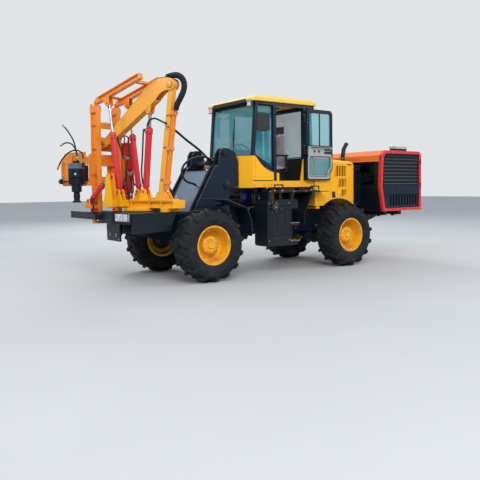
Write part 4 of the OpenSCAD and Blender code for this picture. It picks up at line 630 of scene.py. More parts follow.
    def mirrored(self):
        """Adds the same on the other side of the middle plane."""
        copy = bmesh.ops.duplicate(
            self.mesh, geom=self.mesh.verts[:] + self.mesh.edges[:] + self.mesh.faces[:],
        )
        for item in copy["geom"]:
            if isinstance(item, bmesh.types.BMVert):
                item.co.y = -item.co.y
        bmesh.ops.reverse_faces(
            self.mesh, faces=[f for f in copy["geom"] if isinstance(f, bmesh.types.BMFace)],
        )
        return self

    def ride(self, name, body, slot):
        """Makes the object, on its body, with its finishes."""
        if not len(self.mesh.faces):
            raise RuntimeError(f"{name} has no faces")
        bmesh.ops.recalc_face_normals(self.mesh, faces=self.mesh.faces[:])
        self.mesh.transform(self.place)
        data = bpy.data.meshes.new(name)
        self.mesh.to_mesh(data)
        self.mesh.free()
        for f in self.finishes:
            data.materials.append(finish(f))
        data.shade_smooth()
        data.set_sharp_from_angle(angle=CREASE)
        piece = bpy.data.objects.new(name, data)
        bpy.context.scene.collection.objects.link(piece)
        if body:
            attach(piece, body)
        return piece


def turns_of(count, first=0):
    """Equal turns round a circle, in radians."""
    return [2 * math.pi * (i + first) / count for i in range(count)]


def turned(outline, turn, x=0, y=0):
    """A flat outline, turned round its own origin and then moved to a place."""
    c, q = math.cos(turn), math.sin(turn)
    return [(x + a * c - b * q, y + a * q + b * c) for a, b in outline]


def circle(at, plane, radius, turns):
    """Points on a circle round a middle, in the plane of two axes."""
    first, second = ("XYZ".index(axis) for axis in plane)
    points = []
    for t in turns_of(turns) if isinstance(turns, int) else turns:
        point = list(at)
        point[first] += radius * math.cos(t)
        point[second] += radius * math.sin(t)
        points.append(tuple(point))
    return points


# Stage and camera

EYE = (6.312036, 8.176847, 1.370)
LOOK = (-126.211, -2.431, -0.634)


class RIG_OT_camera(bpy.types.Operator):
    """Sets the camera where the photograph was taken."""

    bl_idname = "rig.camera"
    bl_label = "Camera"

    def execute(self, context):
        yaw, pitch, roll = (math.radians(a) for a in LOOK)
        ahead = vec(math.cos(pitch) * math.cos(yaw), math.cos(pitch) * math.sin(yaw), math.sin(pitch))
        right = ahead.cross(vec(0, 0, 1)).normalized()
        up = right.cross(ahead)
        across = right * math.cos(roll) + up * math.sin(roll)
        upright = up * math.cos(roll) - right * math.sin(roll)
        turn = Matrix((across, upright, -ahead)).transposed().to_4x4()
        data = bpy.data.cameras.new("camera")
        data.lens = sizes().lens
        data.sensor_width = 36
        data.shift_y = -27 / 480
        data.clip_end = 200
        camera = bpy.data.objects.new("camera", data)
        camera.matrix_world = Matrix.Translation(EYE) @ turn
        context.scene.collection.objects.link(camera)
        context.scene.camera = camera
        return {"FINISHED"}


class RIG_OT_stage(bpy.types.Operator):
    """Lays the pale floor and hangs the soft lights."""

    bl_idname = "rig.stage"
    bl_label = "Floor and light"

    LIGHTS = [
        ("key", (7.0, 12.5, 10.5), 8.0, 1750),
        ("side", (-10.0, 9.0, 7.5), 6.0, 620),
        ("back", (-5.0, -11.0, 9.0), 8.0, 900),
        ("front", (12.0, -3.0, 7.0), 5.0, 380),
    ]

    def execute(self, context):
        mesh = bpy.data.meshes.new("floor")
        half = 60.0
        mesh.from_pydata([
            (-half, -half, 0), (half, -half, 0), (half, half, 0), (-half, half, 0),
        ], [], [(0, 1, 2, 3)])
        f = Finish(bpy.data.materials.new("floor"))
        cloud = f.noise(0.35, 4.0)
        mesh.materials.append(f.close({
            "Base Color": f.mix(f.step(cloud, 0.2, 0.8), (0.43, 0.43, 0.43), (0.47, 0.47, 0.468)),
            "Roughness": f.step(cloud, 0.3, 0.8) * 0.1 + 0.8,
            "Specular IOR Level": 0.2,
        }))
        floor = bpy.data.objects.new("floor", mesh)
        context.scene.collection.objects.link(floor)
        for name, place, size, power in self.LIGHTS:
            data = bpy.data.lights.new(name, "AREA")
            data.size = size
            data.energy = power
            lamp = bpy.data.objects.new(name, data)
            lamp.location = place
            lamp.rotation_euler = (vec(-0.4, 0, 1.0) - vec(*place)).to_track_quat("-Z", "Y").to_euler()
            context.scene.collection.objects.link(lamp)
        # Dim on the side that the paint mirrors, pale behind, bright overhead
        world = bpy.data.worlds.new("studio")
        f = Finish(world, "Generated")
        behind = f.add(
            "VectorMath", {"operation": "DOT_PRODUCT"}, {0: f.place, 1: (-0.61, -0.79, 0.0)}, "Value",
        )
        wall = f.mix(f.step(behind, 0.0, 0.7), (0.16, 0.18, 0.21), (0.76, 0.78, 0.80))
        sky = f.mix(f.step(f.part(f.place, "Z"), 0.25, 0.75), wall, (0.80, 0.90, 1.0))
        f.add("OutputWorld", {}, {"Surface": f.add("Background", {}, {"Color": sky, "Strength": 1.0})})
        context.scene.view_settings.view_transform = "Standard"
        context.scene.world = world
        return {"FINISHED"}


# Hoses of the drill

HOSES = {
    "hose_long": [
        (935, 450, 1814.6), (935, 450, 1880), (950, 453, 1975), (976, 455, 2060), (1008, 458, 2132),
        (1048, 462, 2192), (1092, 466, 2248), (1136, 470, 2296), (1180, 474, 2336), (1222, 478, 2370),
    ],
    "hose_middle": [
        (865, 500, 1814.6), (865, 500, 1870), (880, 506, 1940), (914, 508, 2006), (962, 508, 2054),
        (1022, 506, 2082), (1086, 504, 2094), (1150, 502, 2092), (1206, 500, 2078), (1250, 498, 2060),
    ],
    "hose_low": [
        (805, 440, 1774.6), (806, 440, 1830), (822, 432, 1886), (858, 425, 1934), (912, 422, 1962),
        (974, 422, 1976), (1040, 424, 1978), (1106, 428, 1966), (1172, 434, 1940), (1236, 440, 1900),
        (1294, 446, 1854), (1342, 452, 1798), (1378, 456, 1742), (1398, 460, 1704),
    ],
}


class RIG_OT_drill_hoses(bpy.types.Operator):
    """Three loose hoses of the drill head with their end fittings."""

    bl_idname = "rig.drill_hoses"
    bl_label = "Drill hoses"

    def execute(self, context):
        r = sizes().hose_radius
        for name, points in HOSES.items():
            line = [RIG @ p for p in flow(points, 4)]
            data = bpy.data.curves.new(name + "_line", "CURVE")
            data.dimensions = "3D"
            spline = data.splines.new("POLY")
            spline.points.add(len(line) - 1)
            for point, place in zip(spline.points, line):
                point.co = (*place, 1)
            data.bevel_depth = r
            data.bevel_resolution = 4
            data.use_fill_caps = True
            data.materials.append(finish("hose"))
            piece = bpy.data.objects.new(name + "_tube", data)
            context.scene.collection.objects.link(piece)
            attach(piece, "drill")
            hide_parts(name)
            first, second, before, last = (Vector(points[i]) for i in (0, 1, -2, -1))
            ends = Shape(RIG).use("zinc")
            ends.fitting(first + (second - first).normalized() * 62, first - second, r / MM, 58)
            ends.use("brass")
            away = (last - before).normalized()
            ends.fitting(last - away * 58, away, r / MM, 66)
            ends.rod(last + away * 4, last + away * 16, r / MM * 1.25, 18, 2)
            ends = ends.ride(name + "_fittings", "drill", "chrome")
            length = sum((b - a).length for a, b in zip(line, line[1:]))
        return {"FINISHED"}


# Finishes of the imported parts

COATS = {
    "yellow_paint": ["hood", "cab_body", "base_beam"],
    "amber_paint": ["column", "boom"],
    "orange_paint": ["mast_rails", "upper_mast", "tool_slide", "drill_arm", "hammer_arm", "column_pipes"],
    "flame_paint": ["compressor_body"],
    "red_paint": [
        "compressor_ends", "hammer", "fold_barrel_left", "fold_barrel_right", "lift_barrel", "pitch_barrel",
    ],
    "navy_paint": [
        "rear_frame", "rear_axle", "front_frame", "fenders", "front_axle", "cab_frame", "compressor_louvres",
    ],
    "black_paint": [
        "engine_block", "radiator", "cab_visor", "step_box", "tank_right", "compressor_panel",
        "compressor_frame", "door_frame", "platform", "drill_head", "drill_handle",
    ],
    "cream_paint": ["cab_roof"],
    "chrome": ["fold_rod_left", "fold_rod_right", "lift_rod", "pitch_rod"],
    "glass": ["cab_glass", "door_glass"],
    "lamp_glass": ["work_lamps", "headlamps"],
}


class RIG_OT_finishes(bpy.types.Operator):
    """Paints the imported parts."""

    bl_idname = "rig.finishes"
    bl_label = "Paints of the parts"

    def execute(self, context):
        for coat, names in COATS.items():
            for name in names:
                data = NODES[name].data
                data.materials.clear()
                data.materials.append(finish(coat))
        return {"FINISHED"}


# Wheels

class RIG_OT_tyres(bpy.types.Operator):
    """Tyres with chevron lugs, rims with their hubs and nuts."""

    bl_idname = "rig.tyres"
    bl_label = "Tyres and rims"

    SIDE = [
        (279, 150), (290, 168), (306, 178), (322, 181), (330, 188), (352, 193), (372, 199), (380, 203),
        (392, 203), (400, 199), (430, 198), (452, 192), (478, 178), (498, 160), (508, 120), (511, 60),
        (512, 0),
    ]

    def lug(self, shape, start, side):
        """One bar of the tread, from just past the middle out over the shoulder."""
        stations = [
            (540, -14, 0.0, 15), (540, 26, 0.3, 17), (540, 74, 2.6, 18), (539, 118, 5.2, 20),
            (536, 156, 7.4, 22), (526, 184, 8.6, 23), (500, 197, 9.3, 22), (468, 200, 9.6, 19),
            (448, 197, 9.7, 15),
        ]
        rings = []
        for radius, y, lag, half in stations:
            foot = 506 if y < 130 else min(506, radius - 26 if radius > 500 else radius - 6)
            y_foot = y if y < 150 else y - 16
            ring = []
            for r, across, depth in (
                (radius, -half, y), (radius, half, y), (foot, half + 9, y_foot), (foot, -half - 9, y_foot),
            ):
                t = math.radians(start - lag) + across / 520
                ring.append((r * math.sin(t), side * depth, -r * math.cos(t)))
            rings.append(ring)
        faces = shape.skin(rings)
        shape.round_off(faces, 2.6, 1)

    def tyre(self):
        """The carcass with two rows of lugs, set half a step apart."""
        shape = Shape(Matrix.Scale(MM, 4)).use("tyre_rubber")
        whole = self.SIDE + [(r, -y) for r, y in reversed(self.SIDE[:-1])]
        shape.lathe(whole, (0, 0, 0), (0, 1, 0), 90)
        lugs = sizes().lug_count
        for i in range(lugs):
            self.lug(shape, i * 360 / lugs + 6, 1)
            self.lug(shape, (i + 0.5) * 360 / lugs + 6, -1)
        # Ribs of the sidewall between the lugs' feet
        for side in (-1, 1):
            for t in turns_of(lugs * 4):
                inner, outer = (
                    (r * math.sin(t), side * y, -r * math.cos(t)) for r, y in ((436, 196), (456, 191))
                )
                shape.rod(inner, outer, 3.2, 6)
        return shape

    def rim(self, nuts):
        """The dished rim with its hub, nuts and valve."""
        shape = Shape(Matrix.Scale(MM, 4)).use("wheel_paint")
        shape.ring([
            (60, 60), (60, -92), (122, -92), (156, -52), (256, -66), (256, -167), (288, -167), (291, -163),
            (291, -158), (278, -145), (262, -128), (262, 128), (278, 145), (289, 156), (292, 162),
            (290, 167), (284, 169), (268, 166), (262, 152), (252, 120), (246, 60), (240, 10), (232, -14),
            (222, -26), (206, -31), (176, -27), (152, -20), (141, -8), (136, 8), (134, 40), (130, 62),
            (122, 72), (112, 76), (60, 78),
        ], (0, 0, 0), (0, 1, 0), 84)
        # Hub cap with its plug and the ring of the rim's lock
        shape.lathe([
            (0, 93), (30, 93), (48, 90), (53, 84), (58, 74), (58, 60), (0, 60),
        ], (0, 0, 0), (0, 1, 0), 40)
        shape.rod((0, 92, 0), (0, 99, 0), 11, 6, 1.5)
        # Screws of the hub's cover, and between them the wheel nuts
        shape.bolts(circle((0, 76, 0), "ZX", 94, nuts), (0, 1, 0), 9.5, 10)
        shape.bolts(circle((0, -29, 0), "ZX", 191, turns_of(nuts, 0.5)), (0, 1, 0), 11.5, 13)
        shape.use("gasket")
        shape.tube([(228, -26, 0), (231, 0, 0), (239, 26, 0)], 5, 8)
        shape.use("brass")
        shape.rod((239, 24, 0), (243, 44, 0), 3.6, 8, 0.6)
        return shape

    def execute(self, context):
        nuts = sizes().nut_count
        for name, x, side in WHEELS:
            middle = CARRIER @ vec(x, side * TYRE_Y, TYRE_R)
            for kind, slot in (("tyre", "rubber"), ("rim", "yellow_paint")):
                shape = self.tyre() if kind == "tyre" else self.rim(nuts)
                if side < 0:
                    for vert in shape.mesh.verts:
                        vert.co.y = -vert.co.y
                piece = shape.ride(f"{kind}_of_{name}", None, slot)
                piece.location = middle
                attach(piece, "wheel_" + name)
                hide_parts(f"{kind}_{name}")
        return {"FINISHED"}


# Cab

SWEEP = [
    (-1012, 1883), (-1045, 1848), (-1105, 1780), (-1175, 1716), (-1250, 1670), (-1325, 1640), (-1400, 1624),
    (-1500, 1614),
]


def ring_of(points, y):
    """A closed outline in the XZ plane, its corners cut, as a line for a bead."""
    line = []
    count = len(points)
    for i in range(count):
        here = vec(points[i][0], y, points[i][1])
        for other in (points[i - 1], points[(i + 1) % count]):
            aim = vec(other[0], y, other[1])
            line.append(here + (aim - here).normalized() * min(22, (aim - here).length / 3))
    return line + [line[0]]


class RIG_OT_cab_trim(bpy.types.Operator):
    """Window beads, wiper, roof rails, mirrors, seams and screws of the cab."""

    bl_idname = "rig.cab_trim"
    bl_label = "Cab trim"

    def beads(self):
        """Rubber beads round the panes."""
        s = Shape().use("gasket")
        s.tube([(x, 616, z) for x, z in flow_flat(SWEEP)], 8)
        s.tube(ring_of([
            (-1382, 1668), (-1318, 1690), (-1164, 1772), (-1026, 1900), (-1078, 2694), (-1382, 2694),
        ], 576), 8, 8)
        s.tube(ring_of([(-2186, 1892), (-2096, 1892), (-2096, 2694), (-2160, 2694)], 602), 7, 8)
        s.mirrored()
        for x0, x1 in ((-976, -1040), (-2228, -2228)):
            s.tube([
                (x0, -546, 1892), (x0, 546, 1892), (x0, 553, 1906), (x1, 553, 2680), (x1, 540, 2694),
                (x1, -540, 2694), (x1, -553, 2680), (x0, -553, 1906), (x0, -546, 1892),
            ], 8, 8)
        for inset, z0, z1 in ((110, 1540, 1880), (70, 2060, 2660)):
            x0, x1 = REAR_POST + inset, MID_POST - inset
            s.tube(ring_of([(x0, z0), (x1, z0), (x1, z1), (x0, z1)], -618), 6, 8)
        s.ride("cab_window_beads", "rear_carrier", "rubber")

    def wiper(self):
        """Motor cap, arm and blade on the windscreen, the blade leaning with the pane."""
        s = Shape().use("plastic")
        s.lathe([(0, 16), (20, 14), (26, 0), (26, -14), (0, -14)], (-976, 120, 1912), (1, 0, 0.08), 20)
        s.hose([(-958, 120, 1914), (-952, 112, 1990), (-958, 86, 2140), (-980, 66, 2270)], 6, 8)
        s.tube([(-960, 100, 2040), (-978, 58, 2300)], 3, 6)
        s.use("gasket")
        s.box((-1004, 50, 2060), (-994, 60, 2520), 3, 1)
        for vert in s.mesh.verts:
            if vert.co.x < -985 and vert.co.z > 2050:
                vert.co.x += (2520 - vert.co.z) * 0.081 - 22
        s.use("zinc").bolt((-958, 120, 1913), (1, 0, 0.08), 8, 6)
        s.ride("cab_wiper", "rear_carrier", "black_paint")

    def roof(self):
        """Drip rail, ribs and screws of the roof."""
        s = Shape().use("cream_paint")
        # Drip rail round the roof and ribs on its top
        s.tube([
            (-986, 600, 2757), (-1010, 644, 2757), (-2290, 644, 2757), (-2324, 620, 2757),
            (-2324, -620, 2757), (-2290, -644, 2757), (-1010, -644, 2757), (-986, -600, 2757),
        ], 7, 8)
        for y in (-390, -130, 130, 390):
            s.box((-2140, y - 34, 2852), (-1190, y + 34, 2868), 7)
        s.use("gasket")
        for side in (-1, 1):
            s.box((-2300, side * 616, 2744), (-1000, side * 612, 2752))
        s.use("zinc")
        s.bolts([(x, y, 2801) for x in (-2270, -1900, -1500, -1090) for y in (-618, 618)], (0, 0, 1), 7, 5)
        s.ride("roof_rails", "rear_carrier", "roof_plastic")

    def mirrors(self):
        """Housings and glasses of both mirrors with the clamps on their tubes."""
        s = Shape().use("plastic")
        s.prism([
            (-1118, 2262), (-1128, 2274), (-1128, 2516), (-1116, 2530), (-898, 2530), (-886, 2516),
            (-886, 2274), (-898, 2262),
        ], "Y", 800, 842, 9, 2)
        s.box((-1316, -886, 2274), (-1282, -800, 2656), 12)
        s.use("mirror")
        s.prism([(-1112, 2280), (-1112, 2512), (-902, 2512), (-902, 2280)], "Y", 797, 801, 1)
        s.box((-1318.5, -874, 2292), (-1315, -812, 2638), 1)
        s.use("zinc")
        for z in (2300, 2440):
            s.clamp((-1010, 800, z + 60), (0, 0, 1), 12)
        s.clamp((-1296, -800, 2420), (0, 0, 1), 12)
        s.ride("mirrors", "rear_carrier", "black_paint")

    def panels(self):
        """Seams, screws, heater grille and the handle of the shut door on the right."""
        s = Shape().use("plastic")
        # Dark seam between the sweeping panel and the lower one, and the strip at the foot
        s.box((-1368, 617, 1480), (-962, 623, 1492), 2, 1)
        s.box((-2256, 616, 1371), (-964, 622.5, 1378), 1.5, 1)
        s.mirrored()
        # The same seam across the nose
        s.prism([(-804, 1480), (-804, 1492), (-797, 1492), (-797, 1480)], "Y", -456, 456)
        # Grille of the heater on the nose
        for i in range(7):
            s.box((-801, -180, 1560 + i * 24), (-792, 180, 1570 + i * 24), 2, 1)
        s.use("zinc")
        for side in (-1, 1):
            s.bolts([(x, side * 620, z) for x, z in (
                (-1000, 1420), (-1180, 1420), (-1340, 1420), (-1000, 1560), (-1000, 1760), (-2200, 1440),
                (-2220, 1700), (-2220, 1840),
            )], (0, side, 0), 7, 5)
        s.bolts([(-800, y, z) for y in (-420, 420) for z in (1420, 1560, 1700, 1830)], (1, 0, 0), 7, 5)
        s.use("grey_trim")
        # Grab rail beside the right-hand door
        s.tube([(-1450, -618, 1690), (-1450, -654, 1700), (-1450, -654, 2180), (-1450, -618, 2190)], 10, 10)
        s.use("plastic")
        # Handle and hinges of the shut door on the right
        s.box((-1506, -632, 1946), (-1476, -618, 2010), 5).box((-1560, -648, 1962), (-1482, -634, 1984), 6)
        for z in (1700, 2300):
            s.rod((-2010, -628, z), (-2010, -628, z + 90), 12, 14, 2)
        s.ride("cab_panel_trim", "rear_carrier", "black_paint")

    def lining(self):
        """Dark lining of the rear wall and of the sides under the windows."""
        s = Shape().use("plastic")
        s.box((CAB_REAR + 24.5, -590, 1397), (CAB_REAR + 30, 590, 1874), 2, 1)
        for side in (-1, 1):
            s.box((CAB_REAR + 31, side * 591, 1397), (REAR_POST - 76, side * 595, 1874), 1.5, 1)
            s.box((REAR_POST - 74, side * 591, 1397), (MID_POST + 60, side * 595, 1472), 1.5, 1)
        s.ride("cab_lining", "rear_carrier", "black_paint")

    def lamps(self):
        """Frames and screws of the four work lamps."""
        s = Shape().use("plastic")
        # Four strips round each lamp, given by its face, the way it looks and its edges
        for face, out, y0, y1 in ((-944, 1, 500, 600), (-2310, -1, 480, 580)):
            for side in (-1, 1):
                lo, hi = sorted((side * y0, side * y1))
                for a, b, z0, z1 in (
                    (lo - 5, hi + 5, 2660, 2668), (lo - 7, lo + 1, 2660, 2748),
                    (hi - 1, hi + 7, 2660, 2748), (lo - 5, hi + 5, 2740, 2748),
                ):
                    s.box((face, a, z0), (face - out * 40, b, z1), 3, 1)
                s.use("zinc").bolt(
                    (face - out * 22, side * (y0 - 6), 2704), (0, -side, 0), 6, 5,
                ).use("plastic")
        s.ride("roof_lamp_frames", "rear_carrier", "black_paint")

    def execute(self, context):
        self.beads()
        self.wiper()
        self.roof()
        self.mirrors()
        self.panels()
        self.lamps()
        self.lining()
        return {"FINISHED"}


def flow_flat(points, steps=4):
    """A smooth line through points of a plane."""
    return [(p.x, p.z) for p in flow([(x, 0, z) for x, z in points], steps)]


class RIG_OT_door_trim(bpy.types.Operator):
    """Beads, band, handle and hinges of the open door."""

    bl_idname = "rig.door_trim"
    bl_label = "Door trim"

    def execute(self, context):
        out = HINGE[1] + 32
        far, near = HINGE[0] - 630, HINGE[0] - 40
        s = Shape().use("gasket")
        upper = [(near - 45, 2070), (near - 45, 2630), (far + 60, 2630), (far + 45, 2610), (far + 45, 2070)]
        lower = [(near - 45, 1550), (near - 45, 1890), (far + 45, 1890), (far + 45, 1700), (far + 120, 1550)]
        for y in (out, out - 30):
            for outline in (upper, lower):
                s.tube(ring_of(outline, y), 6, 8)
        rim = [
            (near - 2, 1494), (near - 2, 2676), (far + 42, 2676), (far + 3, 2628), (far + 3, 1682),
            (far + 63, 1612), (far + 63, 1494),
        ]
        s.tube(ring_of(rim, out - 4), 7, 8)
        s.use("plastic")
        s.box((far + 296, out - 16, 2070), (far + 308, out + 3, 2630), 3, 1)
        s.use("grey_trim")
        s.prism([
            (near - 22, 1898), (near - 22, 2060), (far + 24, 2060), (far + 24, 1898),
        ], "Y", out - 1, out + 5, 2)
        wide = [
            (near - 12, 1508), (near - 12, 1902), (far + 14, 1902), (far + 14, 1690), (far + 74, 1622),
            (far + 74, 1508),
        ]
        slim = [
            (near - 58, 1566), (near - 58, 1884), (far + 58, 1884), (far + 58, 1706), (far + 122, 1640),
            (far + 128, 1566),
        ]
        s.skin([ring_of(line, y) for line, y in (
            (wide, out - 1), (wide, out + 4), (slim, out + 4), (slim, out - 1),
        )], loop=True)
        s.use("plastic")
        for x in (far + 330, far + 430):
            s.ring([(12, 0), (21, 1), (23, 4), (19, 8), (14, 8), (12, 3)], (x, out + 3, 1976), (0, 1, 0), 24)
            s.rod((x, out + 2, 1976), (x, out + 5.5, 1976), 13, 20)
        s.box((far + 60, out + 4, 1996), (far + 196, out + 24, 2018), 8)
        s.box((far + 14, out - 2, 1930), (far + 52, out + 12, 2010), 4)
        s.use("zinc")
        s.bolts([(near - 8, out, z) for z in (1935, 1985, 2455, 2505)], (0, 1, 0), 6, 5)
        s.bolts([(x, out + 5, z) for x in (near - 36, far + 36) for z in (1912, 2046)], (0, 1, 0), 5, 3)
        for z in (1930, 2450):
            s.rod((HINGE[0], HINGE[1], z + 128), (HINGE[0], HINGE[1], z + 140), 12, 12, 2)
        s.ride("door_trim", "cab_door", "black_paint")
        return {"FINISHED"}


class RIG_OT_driver_place(bpy.types.Operator):
    """Seat, console, dashboard and steering wheel in the cab."""

    bl_idname = "rig.driver_place"
    bl_label = "Driver's place"

    SEAT = HITCH_X - 378
    FLOOR = 1394.5

    def pad(self, name, corners, thick, crown, coat, lean=0.0, at=(0, 0, 0), channels=()):
        """A cushion lofted from its outline, crowned, with sewn channels and a piped edge."""
        half_x, half_y = corners
        bm = bmesh.new()
        nx, ny = 26, 26
        grid = {}
        for side in (1, -1):
            for i in range(nx + 1):
                for j in range(ny + 1):
                    a, b = 2 * i / nx - 1, 2 * j / ny - 1
                    rim = max(abs(a), abs(b)) > 0.999
                    if rim and side < 0:
                        grid[side, i, j] = grid[1, i, j]
                        continue
                    pull = 1 - 0.05 * (1 - (a if abs(a) < abs(b) else b) ** 2) * (max(abs(a), abs(b)) ** 6)
                    q = 1 - 0.035 * (abs(a) * abs(b)) ** 6
                    x, y = a * half_x * pull * q, b * half_y * pull * q
                    dome = ((1 - a ** 4) * (1 - b ** 4)) ** 0.42
                    z = side * (thick / 2) * dome + (crown * (1 - a * a) * (1 - b * b) if side > 0 else 0)
                    for axis, place, width, depth in channels:
                        d = (x if axis == "X" else y) - place
                        z -= side * depth * math.exp(-(d / width) ** 2) * (1 if side > 0 else 0.3) * dome
                    grid[side, i, j] = bm.verts.new((x, y, z))
        for side in (1, -1):
            for i in range(nx):
                for j in range(ny):
                    face = [
                        grid[side, i, j], grid[side, i + 1, j], grid[side, i + 1, j + 1],
                        grid[side, i, j + 1],
                    ]
                    bm.faces.new(face if side > 0 else face[::-1])
        bmesh.ops.recalc_face_normals(bm, faces=bm.faces[:])
        turn = Matrix.Translation(at) @ Matrix.Rotation(math.radians(lean), 4, "Y")
        bm.transform(CARRIER @ turn)
        data = bpy.data.meshes.new(name)
        bm.to_mesh(data)
        bm.free()
        data.materials.append(finish(coat))
        data.shade_smooth()
        piece = bpy.data.objects.new(name, data)
        bpy.context.scene.collection.objects.link(piece)
        puff(piece, 0.008)
        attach(piece, "rear_carrier")
        return piece

    def execute(self, context):
        x = self.SEAT
        cushion = self.pad("seat_cushion", (200, 226), 96, 14, "seat_cloth", 3, (x + 22, 0, 1700),
                           [("Y", -140, 7, 9), ("Y", 140, 7, 9), ("X", -60, 6, 6), ("X", 60, 6, 6)])
        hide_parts("cab_interior")
        self.pad("seat_back", (300, 220), 82, 12, "seat_cloth", -86.5, (x - 212, 0, 1986),
                 [("Y", -135, 7, 9), ("Y", 135, 7, 9), ("X", -120, 6, 6), ("X", 0, 6, 6), ("X", 120, 6, 6)])
        self.pad("seat_head_rest", (66, 112), 62, 6, "head_cloth", -88, (x - 238, 0, 2372))
        self.pad("seat_fleece", (150, 168), 46, 10, "fleece", 3, (x + 40, 0, 1746))
        s = Shape().use("plastic")
        # Suspension base with its bellows, side plates and arm rests
        s.box((x - 200, -200, self.FLOOR), (x + 200, 200, self.FLOOR + 30), 6)
        for i in range(6):
            z = self.FLOOR + 34 + i * 32
            s.box((x - 176, -186, z), (x + 186, 186, z + 24), 11)
        s.box((x - 196, -226, 1632), (x + 216, 226, 1654), 6)
        for side in (-1, 1):
            s.box((x - 190, side * 236, 1902), (x + 118, side * 288, 1934), 13, 3)
            upright = [(x - 190, 1640), (x - 150, 1640), (x - 150, 1900), (x - 190, 1900)]
            s.prism(upright, "Y", side * 240, side * 256, 4)
            s.lathe([
                (0, 0), (34, 0), (34, 10), (26, 16), (0, 16),
            ], (x - 170, side * 252, 1700), (0, side, 0), 24)
        for y in (-46, 46):
            s.rod((x - 236, y, 2270), (x - 236, y, 2330), 7)
        # Dashboard with its hood, gauges and switches
        front = COWL_X
        s.prism([
            (front - 186, self.FLOOR), (front - 44, self.FLOOR), (front - 44, 1828), (front - 92, 1906),
            (front - 150, 1908), (front - 186, 1876),
        ], "Y", -238, 238, 12, 2)
        s.use("grey_trim")
        s.prism([
            (front - 189, 1790), (front - 189, 1868), (front - 183, 1868), (front - 183, 1790),
        ], "Y", -216, 216, 2)
        s.use("chrome")
        for y in (-150, -75, 75, 150):
            s.ring([(20, 0), (29, 0), (31, 4), (28, 8), (22, 8)], (front - 189, y, 1830), (-1, 0, 0), 24)
        s.use("plastic")
        for y in (-150, -75, 75, 150):
            s.rod((front - 188, y, 1830), (front - 193, y, 1830), 24, 20)
        # Steering column, wheel and the lever beside it
        hub = vec(front - 300, 0, 1970)
        axis = vec(-1, 0, 1).normalized()
        s.rod((front - 170, 0, 1840), hub, 32, 20, 3, 24)
        u, v = sides_of(axis)
        rim = [hub + (u * math.cos(t) + v * math.sin(t)) * 190 for t in turns_of(48)]
        s.tube(rim + rim[:1], 13, 12, caps=False)
        for k in range(3):
            t = 2 * math.pi * k / 3 + math.pi / 6
            d = u * math.cos(t) + v * math.sin(t)
            s.tube([hub + d * 20 - axis * 8, hub + d * 100 - axis * 10, hub + d * 186], 9, 8)
        s.lathe([(0, 18), (30, 16), (44, 6), (46, -10), (36, -20), (0, -20)], hub, axis, 28)
        s.hose([(front - 210, -30, 1880), (front - 250, -120, 1930), (front - 262, -190, 1980)], 6, 8)
        s.lathe([
            (0, 20), (12, 16), (16, 0), (12, -16), (0, -18),
        ], (front - 262, -190, 1984), (0, -0.4, 1), 16)
        # Levers of the work hydraulics on the right of the seat
        for i in range(3):
            s.hose([
                (x + 200 + i * 46, -300, 1640), (x + 206 + i * 46, -300, 1800),
                (x + 196 + i * 46, -300, 1900),
            ], 6, 8)
            s.lathe([
                (0, 26), (14, 22), (19, 4), (14, -14), (7, -18), (0, -18),
            ], (x + 196 + i * 46, -300, 1910), (0, 0, 1), 16)
        s.box((x + 150, -360, self.FLOOR), (x + 350, -240, 1650), 14, 2)
        # Pedals and the ribbed mat
        for y in (-150, 110, 190):
            s.prism([
                (front - 290, 1450), (front - 282, 1444), (front - 234, 1538), (front - 242, 1542),
            ], "Y", y - 34, y + 34, 2)
            s.rod((front - 262, y, 1492), (front - 180, y, 1470), 8, 8)
        s.use("gasket")
        for i in range(12):
            s.box((-1880, -440 + i * 76, self.FLOOR - 0.4), (-1140, -400 + i * 76, self.FLOOR + 4), 1, 1)
        s.ride("driver_console", "rear_carrier", "black_paint")
        return {"FINISHED"}


def puff(piece, most):
    """Inflates a cushion a little with the cloth solver and keeps its reach within a cap."""
    scene = bpy.context.scene
    rest = [v.co.copy() for v in piece.data.vertices]
    cloth_maker = piece.modifiers.new("air", "CLOTH")
    settings = cloth_maker.settings
    settings.quality = 4
    settings.mass = 0.2
    settings.use_pressure = True
    settings.uniform_pressure_force = 4.0
    settings.tension_stiffness = 20
    settings.compression_stiffness = 20
    settings.bending_stiffness = 1.0
    settings.effector_weights.gravity = 0.0
    cloth_maker.point_cache.frame_start = 1
    cloth_maker.point_cache.frame_end = 12
    for n in range(1, 13):
        scene.frame_set(n)
        bpy.context.view_layer.update()
    blown = piece.evaluated_get(bpy.context.evaluated_depsgraph_get()).to_mesh()
    moved = [v.co.copy() for v in blown.vertices]
    piece.modifiers.remove(cloth_maker)
    scene.frame_set(1)
    for v, before, after in zip(piece.data.vertices, rest, moved):
        step = after - before
        v.co = before + step * min(1.0, most / max(step.length, 1e-9))
    piece.data.update()


# Hood and radiator

